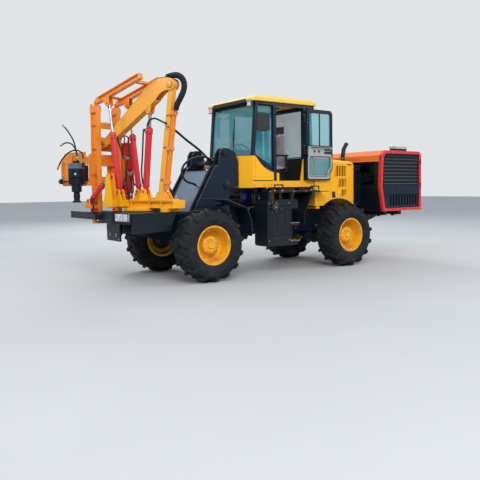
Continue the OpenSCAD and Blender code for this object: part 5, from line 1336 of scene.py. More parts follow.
class RIG_OT_hood_trim(bpy.types.Operator):
    """Louvre slats, latches, hinges and screws of the hood, and the radiator's core."""

    bl_idname = "rig.hood_trim"
    bl_label = "Hood and radiator trim"

    PANELS = [
        (-3030, -3020, -2760, 1560, 1740, 9), (-3030, -3030, -2830, 1370, 1510, 7),
        (-3030, -3030, -2890, 1210, 1320, 5),
    ]

    def execute(self, context):
        s = Shape().use("yellow_paint")
        for foot, top, front, z0, z1, count in self.PANELS:
            # Raised frame of each louvre panel and its slats
            line = [(foot - 10, z0 - 10), (front + 10, z0 - 10), (front - 14, z1 + 10), (top - 22, z1 + 10)]
            s.tube(ring_of(line, 641), 5, 8)
            for i in range(count):
                x = foot + (front - foot - 10) * (i + 0.5) / count
                s.prism([(x - 9, 626), (x + 1, 637), (x + 5, 637), (x - 5, 626)], "Z", z0 - 1, z1 + 1)
        # Raised edge along the hood's shoulder
        s.tube([(-3215, 640, 1748), (-2290, 640, 1754)], 4, 8)
        s.mirrored()
        s.ride("hood_louvres", "rear_carrier", "yellow_paint")
        s = Shape().use("gasket")
        s.box((-2764, 636, 1184), (-2686, 641, 1286), 2, 1)
        s.use("plastic")
        s.box((-2756, 632, 1196), (-2694, 646, 1274), 7)
        s.box((-2742, 643, 1216), (-2708, 655, 1256), 6)
        for x in (-3120, -2520):
            s.rod((x - 40, 645, 1766), (x + 40, 645, 1766), 9, 12, 2)
        s.use("zinc")
        s.bolts([(x, 640, z) for x, z in (
            (-3200, 1120), (-3200, 1400), (-3200, 1700), (-2300, 1120), (-2300, 1400), (-2300, 1700),
            (-2660, 1720), (-2480, 1400),
        )], (0, 1, 0), 7, 5)
        s.mirrored()
        s.ride("hood_latches", "rear_carrier", "black_paint")
        # Core fins of the radiator behind its bars, and the cap on top of the hood
        s = Shape().use("plastic")
        for i in range(44):
            y = -560 + i * 26
            s.box((-3376, y, 1084), (-3366, y + 9, 1706))
        s.lathe([
            (0, 0), (46, 0), (50, 6), (50, 22), (40, 30), (16, 34), (0, 34),
        ], (-3120, -180, 1812), (0, 0, 1), 28)
        for x, y, z in circle((-3120, -180, 1820), "XY", 46, 8):
            s.rod((x, y, z), (x, y, z + 20), 6, 8, 1)
        s.use("zinc")
        # Clamps and rain flap of the exhaust
        for z in (1800, 1900):
            s.ring([(39, -8), (43, -6), (43, 6), (39, 8)], (-3360, 250, z), (0, 0, 1), 28)
        s.ring([(31, 0), (40, 0), (42, 3), (40, 6), (31, 6)], (-3460, 250, 2177), (-0.57, 0, 0.82), 28)
        s.ride("radiator_core", "rear_carrier", "black_paint")
        return {"FINISHED"}


# Compressor

class RIG_OT_compressor_trim(bpy.types.Operator):
    """Slats, hinges, eyes, seams and the air end seen in the bay."""

    bl_idname = "rig.compressor_trim"
    bl_label = "Compressor trim"

    POST = 162

    def ends(self):
        """Painted shade between the slats and behind the slots, welded edges, screws, handles and hinges of
        both end frames.
        """
        s = Shape()
        for k, y in ((1, COMP_Y1), (-1, COMP_Y0)):
            # Painted shade: dark sheets in the gaps between the broad slats and behind the slots, and the
            # plain sheet between both
            s.use("shadow")
            for i in range(9):
                z = 1452 + i * 64
                reach = COMP_X1 - (116 if i > 5 else 66)
                s.box((COMP_X0 + 58, y - k * 23, z - 19), (reach, y - k * 20, z + 17))
            s.box((COMP_X0 + 100, y - k * 58, 1000), (COMP_X1 - 80, y - k * 50, 1230))
            s.use("navy_paint")
            s.box((COMP_X0 + 54, y - k * 23, 1222), (COMP_X1 - 26, y - k * 2.5, 1388), 3)
        s.ride("compressor_slat_shade_and_sheet", "rear_carrier", "navy_paint")
        s = Shape()
        for k, y in ((1, COMP_Y1), (-1, COMP_Y0)):
            # Welded edges of the frame, outside and inside
            s.use("red_paint")
            outer = [
                (COMP_X0 + 6, COMP_Z0 + 6), (COMP_X1 - 55, COMP_Z0 + 6), (COMP_X1 + 23, COMP_Z0 + 420),
                (COMP_X1 - 6, COMP_Z1 - 93), (COMP_X1 - 92, COMP_Z1 - 6), (COMP_X0 + 62, COMP_Z1 - 6),
                (COMP_X0 + 6, COMP_Z1 - 62),
            ]
            inner = [
                (COMP_X0 + 50, COMP_Z0 + 50), (COMP_X1 - 100, COMP_Z0 + 50), (COMP_X1 - 22, COMP_Z0 + 420),
                (COMP_X1 - 52, COMP_Z1 - 112), (COMP_X1 - 112, COMP_Z1 - 50), (COMP_X0 + 80, COMP_Z1 - 50),
                (COMP_X0 + 50, COMP_Z1 - 82),
            ]
            for outline in (outer, inner):
                s.tube(ring_of(outline, y - k * 3), 4.5, 8)
            s.use("zinc")
            s.bolts([(x, y, z) for x, z in (
                (COMP_X0 + 26, 960), (COMP_X0 + 26, 1250), (COMP_X0 + 26, 1540), (COMP_X0 + 26, 1900),
                (COMP_X0 + 400, 1995), (COMP_X1 - 300, 1995), (COMP_X1 - 22, 1860), (COMP_X1 - 8, 1500),
                (COMP_X1 - 8, 1300), (COMP_X1 - 110, 944), (COMP_X0 + 400, 944), (COMP_X0 + 700, 944),
            )], (0, k, 0), 8, 6)
            s.use("plastic")
            # Pull handles and hinges
            s.tube([
                (COMP_X0 + 560, y - k * 8, 1300), (COMP_X0 + 560, y + k * 14, 1300),
                (COMP_X0 + 700, y + k * 14, 1300), (COMP_X0 + 700, y - k * 8, 1300),
            ], 7, 8)
            for z in (1340, 1780):
                s.rod((COMP_X0 + 20, y + k * 4, z), (COMP_X0 + 20, y + k * 4, z + 90), 10, 12, 2)
        s.ride("compressor_end_trim", "rear_carrier", "red_paint")

    def shell(self):
        """Joints, painted shade inside the bay, outlet, lifting eyes and screws of the cover."""
        s = Shape().use("flame_paint")
        # Raised joints across the roof, the raised lip of the bay and the lifting eyes
        for y in (-420, 60, 540):
            s.box((COMP_X0 + 66, y - 16, COMP_Z1 - 1), (COMP_X1 - 96, y + 16, COMP_Z1 + 5), 2, 1)
            s.box((COMP_X0 - 4, y - 16, 980), (COMP_X0 + 1, y + 16, 1950), 2, 1)
        s.tube([(COMP_X1 + 4, -740, 1826), (COMP_X1 + 4, 840, 1826)], 8, 8)
        # Painted shade as dark sheets inside the bay and on its posts, and the outlet's dark foot and pale
        # cap
        s.use("shadow")
        back, y0, y1 = COMP_X1 - 458, COMP_Y0 + self.POST, COMP_Y1 - self.POST
        post = [(COMP_X1 + 25, 1401), (COMP_X1 + 29, 1401), (COMP_X1 + 9, 1818), (COMP_X1 + 5, 1818)]
        for out, y in ((-1, y0), (1, y1)):
            s.prism(post, "Y", y, y + out * 100)
            s.box((back, y, 1402), (COMP_X1 + 6, y - out * 2, 1818))
        s.box((back - 1, y0, 1402), (back + 2, y1, 1818))
        s.box((back, y0, 1400.5), (COMP_X1 + 27, y1, 1403))
        s.box((back, y0, 1816), (COMP_X1 + 4, y1, 1819))
        s.use("plastic")
        s.box((COMP_X0 + 326, COMP_Y1 - 214, COMP_Z1 - 1), (COMP_X1 - 476, COMP_Y1 - 86, COMP_Z1 + 48), 8)
        s.use("pale_cap")
        s.box(
            (COMP_X0 + 320, COMP_Y1 - 218, COMP_Z1 + 47), (COMP_X1 - 470, COMP_Y1 - 82, COMP_Z1 + 88), 14, 3,
        )
        s.use("zinc")
        for y in (-600, 700):
            s.ring([
                (15 + 7 * math.cos(t), 7 * math.sin(t)) for t in turns_of(10)
            ], (COMP_X0 + 480, y, COMP_Z1 + 20), (0, 1, 0), 24)
            s.rod((COMP_X0 + 480, y, COMP_Z1 - 2), (COMP_X0 + 480, y, COMP_Z1 + 6), 16, 16, 2)
        s.bolts([
            (COMP_X0 + 110 + i * 150, y, COMP_Z1) for i in range(6) for y in (-800, -400, 80, 560, 900)
        ], (0, 0, 1), 6, 4)
        s.bolts([(COMP_X0, y, z) for y in (-780, -340, 140, 620, 900) for z in (960, 1940)], (-1, 0, 0), 7, 5)
        s.use("plastic")
        # Rear doors' slots, drawn as dark strips of painted shade, and latches
        for y0 in (-780, -300, 180, 640):
            for i in range(9):
                s.box((COMP_X0 - 3, y0, 1180 + i * 34), (COMP_X0 + 1, y0 + 260, 1192 + i * 34), 2, 1)
            s.box((COMP_X0 - 9, y0 + 110, 1060), (COMP_X0 + 1, y0 + 160, 1120), 5)
        s.ride("compressor_shell_trim", "rear_carrier", "orange_paint")

    def bay(self):
        """The air end in the open bay, and the mounts under the carrying beams."""
        s = Shape().use("black_paint")
        x = COMP_X1 - 260
        # Air receiver, motor with fins, filter housing and pipes inside the bay
        s.lathe([
            (0, -420), (70, -412), (128, -380), (150, -330), (150, 330), (128, 380), (70, 412), (0, 420),
        ], (x - 30, -180, 1570), (0, 1, 0), 40)
        for y in (-380, 20):
            s.ring([(150, -12), (156, -12), (156, 12), (150, 12)], (x - 30, y, 1570), (0, 1, 0), 40)
            s.box((x - 150, y - 20, 1402), (x + 90, y + 20, 1450), 6)
        s.box((x - 140, 330, 1402), (x + 90, 640, 1620), 18)
        for i in range(9):
            s.box((x - 146, 344 + i * 32, 1424), (x + 98, 352 + i * 32, 1640), 3, 1)
        s.lathe([
            (0, 0), (88, 0), (96, 10), (96, 40), (90, 46), (90, 170), (96, 176), (96, 210), (80, 226),
            (0, 226),
        ], (x + 80, 700, 1560), (0, 0, 1), 32)
        s.use("hose")
        s.hose([
            (x + 60, 560, 1640), (x + 110, 560, 1720), (x + 120, 430, 1770), (x + 60, 240, 1740),
            (x - 30, 180, 1700),
        ], 20, 14, pitch=16, depth=1.6)
        s.hose([
            (x + 116, -60, 1540), (x + 190, -80, 1600), (x + 190, -220, 1660), (x + 130, -420, 1640),
            (x + 100, -520, 1500), (x + 60, -600, 1420),
        ], 14, 12)
        s.hose([(x + 80, 700, 1550), (x + 130, 640, 1500), (x + 140, 500, 1460), (x + 96, 420, 1460)], 15, 12)
        s.use("blue")
        s.lathe([
            (0, 0), (44, 2), (48, 10), (48, 120), (40, 132), (0, 132),
        ], (x + 150, 210, 1420), (0, 0, 1), 28)
        s.use("brass")
        s.bolts([(x + 118, y, 1570) for y in (-300, -120, 60)], (1, 0, 0), 12, 14)
        s.ride("compressor_air_end", "rear_carrier", "black_paint")
        s = Shape().use("zinc")
        # Bolts and rubber mounts of the carrying beams
        for beam in (COMP_X1 - 565, COMP_X1 - 165):
            for y in (-760, -560, 560, 860):
                s.bolt((beam, y, COMP_Z0 - 70), (0, 0, -1), 12, 10)
        s.use("gasket")
        for beam in (COMP_X1 - 565, COMP_X1 - 165):
            for y in (-700, 780):
                s.rod((beam, y, COMP_Z0 - 96), (beam, y, COMP_Z0 - 69), 34, 20, 4)
        s.ride("compressor_mounts", "rear_carrier", "chrome")

    def execute(self, context):
        self.ends()
        self.shell()
        self.bay()
        return {"FINISHED"}


# Steps and chassis

class RIG_OT_step_trim(bpy.types.Operator):
    """Treads, filler, latches, screws and rounded edges of the boxes beside the cab."""

    bl_idname = "rig.step_trim"
    bl_label = "Step and tank trim"

    X0 = HITCH_X - 278
    X1 = HITCH_X + 362

    def walkway(self, s):
        """Raised lens pattern of the walkway, its folded rim and screws."""
        s.use("black_paint")
        x0, x1 = HITCH_X - 800, HITCH_X + 280
        for i in range(27):
            for j in range(5):
                turn = 1 if (i + j) % 2 else -1
                s.tread(x0 + 20 + i * 39, 650 + j * 32, 1317.6, turn, (11, 9), 3.4, 2.6)
        s.tube([(x0 - 16, 797, 1318), (x1 + 10, 797, 1318)], 5, 8)
        s.use("zinc")
        s.bolts([(x, 800, 1304) for x in (x0 + 40, x0 + 300, x0 + 560, x0 + 820, x1 - 20)], (0, 1, 0), 8, 5)

    def box_face(self, s, left):
        """Ribs, rim, screws and handle on the outer face of a box."""
        s.use("black_paint")
        x0, x1 = self.X0, self.X1
        # Pressed ribs, the lid's rim and the straps round the box
        outline = [(x0 + 176, 560), (x1 - 46, 560), (x1 - 46, 1110), (x0 + 176, 1110)]
        if not left:
            outline = [(x0 + 46, 540), (x1 - 46, 540), (x1 - 46, 1100), (x0 + 46, 1100)]
        s.tube(ring_of(outline, 850), 5, 8)
        for x in (x0 + 250, x0 + 420, x1 - 110) if left else (x0 + 130, x0 + 320, x1 - 130):
            top = 960 if x > x1 - 300 else 1080
            s.prism([(x - 16, 590), (x + 16, 590), (x + 16, top), (x - 16, top)], "Y", 846, 854, 4)
        s.box((x0 + 26, 530, 1168), (x1 - 26, 846, 1176), 4)
        s.use("zinc")
        s.bolts([(x, 850, z) for x in (x0 + 190, x1 - 34) for z in (530, 1122)], (0, 1, 0), 8, 5)
        s.bolts([(x1 - 18, y, z) for y in (560, 700, 810) for z in (500, 800, 1100)], (1, 0, 0), 8, 5)
        s.use("plastic")
        s.box((x0 + 330, 848, 1010), (x0 + 390, 862, 1046), 5)
        s.tube([(x1 - 180, 852, 640), (x1 - 180, 874, 640), (x1 - 60, 874, 640), (x1 - 60, 852, 640)], 6, 8)

    def execute(self, context):
        x0, x1 = self.X0, self.X1
        s = Shape()
        self.walkway(s)
        self.box_face(s, True)
        s.use("zinc")
        # Tread bars of the two recessed steps
        for z in (504, 794):
            for i in range(6):
                s.box((x0 - 56, 712 + i * 22, z - 3), (x0 + 154, 720 + i * 22, z + 3), 1.5, 1)
        # Filler: knurled cap, chain eye and dark plug
        s.use("plastic")
        x = HITCH_X + 222
        s.lathe([
            (0, 0), (60, 0), (66, 4), (66, 18), (58, 24), (20, 27), (0, 27),
        ], (x, 866, 1060), (0, 1, 0), 40)
        for px, py, pz in circle((x, 867, 1060), "XZ", 65, 20):
            s.rod((px, py, pz), (px, py + 19, pz), 4, 6)
        s.use("zinc")
        s.bolt((x, 892, 1060), (0, 1, 0), 11, 5)
        s.bolts(circle((x, 850, 1060), "XZ", 84, 6), (0, 1, 0), 6, 4)
        # Pipes that drop behind the step into the frame
        s.use("hose")
        s.hose([
            (HITCH_X + 300, 560, 1176), (HITCH_X + 300, 556, 1230), (HITCH_X + 280, 520, 1270),
            (HITCH_X + 180, 470, 1282),
        ], 16, 12)
        s.hose([
            (HITCH_X + 240, 600, 1176), (HITCH_X + 236, 590, 1240), (HITCH_X + 180, 530, 1274),
            (HITCH_X + 60, 480, 1280),
        ], 12, 12)
        s.use("zinc")
        for point in ((HITCH_X + 300, 560, 1200), (HITCH_X + 240, 600, 1200)):
            s.clamp(point, (0, 0, 1), 16)
        # Feet of the hoop handles
        for px in (HITCH_X + 162, HITCH_X - 8, HITCH_X - 618, HITCH_X - 800):
            s.ring([(11, 0), (22, 0), (22, 5), (14, 9), (11, 16)], (px, 788, 1318), (0, 0, 1), 20)
        s.ride("step_box_trim", "rear_carrier", "black_paint")
        s = Shape()
        self.walkway(s)
        self.box_face(s, False)
        s.use("plastic")
        s.lathe([(0, 0), (60, 0), (66, 6), (66, 40), (58, 48), (0, 50)], (x0 + 120, 700, 1176), (0, 0, 1), 32)
        s.use("zinc")
        for z in (700, 980):
            s.box((x0 - 3, 516, z), (x1 + 3, 854, z + 34), 4)
        for vert in s.mesh.verts:
            vert.co.y = -vert.co.y
        s.ride("tank_trim", "rear_carrier", "black_paint")
        return {"FINISHED"}


class RIG_OT_chassis_trim(bpy.types.Operator):
    """Axle bolts, drive shafts, hitch fittings and the lines between the carriers."""

    bl_idname = "rig.chassis_trim"
    bl_label = "Chassis trim"

    def axle(self, x, ahead, body, name):
        """Differential, hub rings, brake lines and drive shaft of an axle."""
        s = Shape().use("navy_paint")
        # Ribs of the differential's housing, ring of bolts, planet hubs and shaft
        for t in turns_of(8):
            s.prism(turned([(184, 0), (196, 8), (196, -8)], t), "Y", -46, 46)
        for vert in s.mesh.verts:
            vert.co.x += x
            vert.co.z += TYRE_R
        for y in (-1, 1):
            s.use("navy_paint")
            s.ring([(152, 0), (164, 3), (164, 20), (152, 24)], (x, y * 640, TYRE_R), (0, y, 0), 40)
            s.use("zinc")
            s.bolts(circle((x, y * 684, TYRE_R), "XZ", 138, 10), (0, y, 0), 8, 6)
            s.bolts([(x + dx, y * 252, 642) for dx in (-86, 86)], (0, 0, 1), 13.1, 1)
        s.use("navy_paint")
        s.lathe([
            (0, 150), (150, 150), (146, 190), (96, 236), (70, 262), (0, 262),
        ], (x, 0, TYRE_R), (ahead, 0, 0), 36)
        s.use("zinc")
        s.bolts(circle((x + ahead * 186, 0, TYRE_R), "YZ", 122, 10), (ahead, 0, 0), 8, 6)
        s.use("black_paint")
        reach = 520
        s.rod((x + ahead * 262, 0, TYRE_R), (x + ahead * 290, 0, TYRE_R), 64, 24, 3)
        s.box((x + ahead * 320 - 44, -22, TYRE_R - 52), (x + ahead * 320 + 44, 22, TYRE_R + 52), 10)
        s.box((x + ahead * 350 - 44, -52, TYRE_R - 22), (x + ahead * 350 + 44, 52, TYRE_R + 22), 10)
        s.rod((x + ahead * 380, 0, TYRE_R), (x + ahead * reach, 0, TYRE_R + 24), 42, 24, 3)
        s.rod((x + ahead * reach, 0, TYRE_R + 24), (x + ahead * (reach + 200), 0, TYRE_R + 40), 33, 24, 3)
        s.use("hose")
        for y in (-1, 1):
            s.hose([
                (x - ahead * 60, y * 20, 728), (x - ahead * 90, y * 120, 700),
                (x - ahead * 110, y * 300, 640), (x - ahead * 100, y * 520, 630),
                (x - ahead * 60, y * 640, 600),
            ], 6, 8)
        s.ride(name, body, "navy_paint")

    def execute(self, context):
        self.axle(0.0, -1, "front_carrier", "front_axle_trim")
        self.axle(-WHEELBASE, 1, "rear_carrier", "rear_axle_trim")
        s = Shape().use("zinc")
        for y in (-1, 1):
            s.bolts([
                (HITCH_X - 320 - i * 130, y * 300, z) for i in range(4) for z in (660, 980)
            ], (0, y, 0), 10, 7)
            s.bolts([(-WHEELBASE + dx, y * 300, 690) for dx in (-230, -180, 180, 230)], (0, y, 0), 12, 8)
        s.use("navy_paint")
        for y in (-1, 1):
            s.prism([
                (HITCH_X - 300, 640), (HITCH_X - 300, 960), (HITCH_X - 420, 900), (HITCH_X - 420, 700),
            ], "Y", y * 300, y * 312, 3)
        s.ride("rear_frame_trim", "rear_carrier", "navy_paint")
        # Cab mounts, valve block, filter and hoses under the cab's nose
        s = Shape().use("navy_paint")
        for x in (-1270, -1090):
            s.box((x, -560, 1300), (x + 80, 560, 1372), 6)
        for y in (-300, 300):
            s.box((-1560, y - 30, 1290), (-1060, y + 30, 1362), 5)
        s.use("black_paint")
        s.box((-1215, -230, 1120), (-1085, 240, 1290), 8)
        s.use("plastic")
        for y in (-500, 500):
            s.lathe([
                (0, 0), (44, 0), (50, 8), (40, 18), (50, 28), (44, 36), (0, 36),
            ], (-1230, y, 1264), (0, 0, 1), 24)
        s.use("zinc")
        for i in range(5):
            s.rod((-1085, -180 + 80 * i, 1210), (-1052, -180 + 80 * i, 1210), 22, 16, 3)
            s.bolt((-1085, -180 + 80 * i, 1160), (1, 0, 0), 13, 10)
        s.use("blue")
        s.lathe([
            (0, 0), (40, 2), (46, 10), (46, 128), (40, 142), (0, 142),
        ], (-1010, 300, 1176), (0, 0, 1), 28)
        s.use("black_paint")
        s.lathe([(0, 142), (50, 142), (50, 166), (36, 180), (0, 180)], (-1010, 300, 1176), (0, 0, 1), 28)
        s.box((-1066, 280, 1300), (-1010, 320, 1350), 4)
        s.use("hose")
        for i in range(5):
            y = -180 + 80 * i
            s.hose([
                (-1052, y, 1210), (-1010, y + 10, 1216), (-985, y + 24, 1180), (-1010, y + 30, 1120),
                (-1090, y + 20, 1070), (-1200, y * 0.7, 1046),
            ], 11, 8)
            s.hose([
                (-1150, y, 1285), (-1150, y + 8, 1330), (-1180, y + 20, 1352), (-1260, y + 24, 1340),
                (-1330, y * 0.8, 1290), (-1370, y * 0.6, 1200), (-1380, y * 0.5, 1100),
            ], 10, 8)
        s.ride("cab_mounts", "rear_carrier", "navy_paint")
        s = Shape().use("zinc")
        s.rod((HITCH_X, 0, 1020), (HITCH_X, 0, 1030), 46, 28, 3)
        s.bolts(circle((HITCH_X, 0, 1020), "XY", 40, 6), (0, 0, 1), 7, 12)
        s.ride("hitch_cap", "front_carrier", "navy_paint")
        # Lines that bridge the articulation
        for i, y in enumerate((-150, -120, 118, 146)):
            s = Shape().use("hose")
            s.hose([
                (HITCH_X - 292, y, 1010), (HITCH_X - 230, y, 1036), (HITCH_X - 100, y * 1.08, 1070 + 8 * i),
                (HITCH_X + 40, y * 1.1, 1076 + 8 * i), (HITCH_X + 190, y * 0.9, 1060),
                (HITCH_X + 300, y * 0.66, 1020), (HITCH_X + 350, y * 0.62, 980),
            ], 13, 10, steps=8)
            piece = s.ride(f"hitch_line_{i + 1}", None, "rubber")
            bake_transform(piece)
        return {"FINISHED"}


# Front carrier

class RIG_OT_tower_trim(bpy.types.Operator):
    """Pins, bolts, weld beads and hoses of the tower."""

    bl_idname = "rig.tower_trim"
    bl_label = "Tower trim"

    def execute(self, context):
        s = Shape().use("navy_paint")
        # Weld beads along the plates' edges and round the bosses
        edge = [
            (300, 1000), (60, 1000), (10, 1120), (-330, 1700), (-400, 1740), (-430, 1920), (-480, 1988),
            (-570, 1988), (-708, 1930), (-768, 1780), (-768, 1422),
        ]
        s.tube([(x, 481, z) for x, z in edge], 3.5, 6)
        for x, z, r in ((-500, 1925, 56), (-545, 1420, 68)):
            s.ring([(r, 0), (r + 6, 0), (r + 3, 5), (r, 6)], (x, 480, z), (0, 1, 0), 32)
            s.lathe([
                (0, 0), (r - 22, 0), (r - 16, 4), (r - 16, 10), (r - 24, 14), (0, 14),
            ], (x, 493, z), (0, 1, 0), 32)
        for x, z, r in ((-500, 1925, 24), (-545, 1420, 34)):
            s.bolts(circle((x, 506, z), "XZ", r, 3), (0, 1, 0), 7, 5)
        s.bolts([(x, 480, z) for x, z in (
            (-60, 1060), (-160, 1200), (-640, 1460), (140, 760), (-100, 760), (-400, 760),
        )], (0, 1, 0), 10, 7)
        s.use("navy_paint")
        s.prism([(-300, 1210), (-180, 1000), (-140, 1000), (-262, 1210)], "Y", 480, 492, 3)
        s.mirrored()
        # Lifting eye and stops on the cross tube
        for y in (-180, 180):
            s.ring([(52, -16), (62, -14), (62, 14), (52, 16)], (-520, y, 1760), (0, 1, 0), 32)
        s.ride("tower_trim", "front_carrier", "navy_paint")
        s = Shape().use("gloss_plate")
        # Cover sheet on the sloping plate with its folded rim, its pale blue colour a painted reflection of
        # the sky
        slope = [(52, 1014), (-292, 1632), (-286, 1636), (59, 1016)]
        s.prism(slope, "Y", -316, 316, 1.5)
        s.tube([(-288, -316, 1640), (-288, 316, 1640)], 7, 8)
        s.use("zinc")
        for k in range(4):
            t = 0.06 + k * 0.29
            s.bolts([(59 - 345 * t, y, 1018 + 619 * t) for y in (-296, 296)], (0.87, 0, 0.49), 8, 5)
        s.ride("sloping_cover", "front_carrier", "navy_paint")
        s = Shape().use("hose")
        # Hose bundles inside the tower, with their fittings at the cross tube
        for i in range(4):
            y = 232 - i * 34
            s.hose([
                (-430 - i * 8, y, 1012), (-440 - i * 8, y, 1180), (-500, y + 6, 1400), (-560, y + 8, 1560),
                (-600, y + 4, 1700), (-590, y, 1800), (-530, y - 4, 1846), (-450, y - 8, 1838),
                (-400, y - 8, 1790), (-384, y - 6, 1720),
            ], 12, 10)
        s.hose([
            (-392, 300, 1800), (-300, 300, 1850), (-180, 300, 1858), (-60, 300, 1832), (40, 300, 1790),
            (120, 300, 1720), (152, 300, 1640), (140, 300, 1560), (96, 300, 1496), (30, 298, 1462),
            (-40, 294, 1446), (-104, 290, 1420),
        ], 17, 12)
        for side in (-1, 1):
            for i in range(2):
                s.hose([
                    (-640, side * (400 + 26 * i), 1380), (-650, side * (402 + 26 * i), 1500),
                    (-640, side * (404 + 26 * i), 1640), (-590, side * (404 + 26 * i), 1720),
                    (-540, side * (398 + 20 * i), 1700), (-500, side * 396, 1620),
                ], 10, 10)
        s.use("zinc")
        s.fitting((-108, 290, 1418), (-0.87, 0, -0.49), 15, 56)
        for i in range(4):
            s.fitting((-384, 226 - i * 34, 1730), (0.05, 0, -1), 12, 50)
        s.box((-420, 110, 1676), (-356, 252, 1684), 2, 1)
        for z in (1180, 1400):
            s.box((-486 if z < 1300 else -520, 112, z - 10), (-430 if z < 1300 else -470, 250, z + 10), 3)
        s.ride("tower_hoses", "front_carrier", "rubber")
        return {"FINISHED"}


class RIG_OT_front_trim(bpy.types.Operator):
    """Fender beads, deck treads, lamp frames and towing fittings."""

    bl_idname = "rig.front_trim"
    bl_label = "Fender and platform trim"

    SLEW_R = 300

    def execute(self, context):
        s = Shape().use("navy_paint")
        rim = [(0, 1218), (-204, 1208), (-584, 1078), (-674, 898), (-692, 712)]
        for y in (613, 947):
            s.tube([(x, y, z) for x, z in rim], 5, 8)
        s.tube([(-4, 613, 1216), (-4, 947, 1216)], 5, 8)
        s.use("gasket")
        s.prism([(-686, 640), (-694, 640), (-696, 760), (-688, 760)], "Y", 640, 930, 1)
        s.bolts(
            [(-200 - dx, y, 1210 - dx * 0.34) for dx in (180, 204) for y in (660, 700)], (0.3, 0, 1), 8, 5,
        )
        s.bolts([(-694, y, 745) for y in (680, 790, 900)], (-1, 0, 0.1), 7, 4)
        s.mirrored()
        s.ride("fender_trim", "front_carrier", "navy_paint")
        s = Shape().use("black_paint")
        # Lens pattern on the deck, clear of the slewing ring and low enough for the slewing foot
        for i in range(17):
            for j in range(27):
                x, y = 510 + i * 40, -420 + j * 40
                if math.hypot(x - RIG_X, y) > self.SLEW_R:
                    s.tread(x, y, 1034.6, 1 if (i + j) % 2 else -1, (12, 10), 3.6, 1.1)
        s.tube([(482, 660, 1032), (1158, 660, 1032)], 4, 8)
        s.tube([(560, 661, 772), (560, 661, 800), (472, 661, 1020)], 4, 8)
        # Ribs of the nose and the folded rim of the bumper
        for y in (-80, 220):
            s.box((1262, y - 8, 890), (1278, y + 8, 1050), 4)
        s.box((1290, -1094, 936), (1362, -1100, 1034), 3, 1)
        s.bolts([(x, 660, z) for x, z in (
            (620, 990), (900, 990), (1120, 990), (620, 800), (900, 780), (1120, 780),
        )], (0, 1, 0), 9, 6)
        s.bolts([(1370, y, z) for y in (-1040, -700, -340) for z in (956, 1014)], (1, 0, 0), 9, 6)
        s.bolts([(1276, y, z) for y in (-60, 200) for z in (910, 1030)], (1, 0, 0), 9, 6)
        s.use("zinc")
        s.bolts([(1150, y, z) for y in (-190, 190) for z in (650, 860)], (1, 0, 0), 10, 7)
        for y in (-100, 100):
            s.ring([(13.5, 0), (26, 0), (26, 5), (13.5, 6)], (1150, y, 710), (1, 0, 0), 28)
        s.ride("platform_trim", "front_carrier", "black_paint")
        lamps = (("left", 1212, 460, 975, 10, -150, 160), ("right", 1205.4, -365, 945, -10.5, -125, 105))
        for side, x, y, z, turn, y0, y1 in lamps:
            s = Shape(CARRIER @ Matrix.Translation((x, y, z)) @ Matrix.Rotation(math.radians(turn), 4, "Z"))
            s.use("plastic")
            s.tube([
                (24, y0 - 2, -60), (24, y1 + 2, -60), (24, y1 + 2, 60), (24, y0 - 2, 60), (24, y0 - 2, -60),
            ], 7, 8)
            s.box((2, (y0 + y1) / 2 + 38, -54), (27, (y0 + y1) / 2 + 46, 54), 2, 1)
            s.use("chrome")
            bowl = [(10, 8), (34, 16), (42, 22), (45, 21), (36, 13), (12, 5)]
            s.ring(bowl, (8, y0 + 76, 0), (1, 0, 0), 28)
            s.use("lamp_glass")
            s.box((20, y1 - 64, -46), (28, y1 - 14, 46), 4)
            s.lathe([(0, 27), (18, 26), (34, 23), (38, 20), (0, 14)], (4, y0 + 76, 0), (1, 0, 0), 28)
            s.ride(f"headlamp_frame_{side}", "front_carrier", "lamp")
        return {"FINISHED"}


# Rig

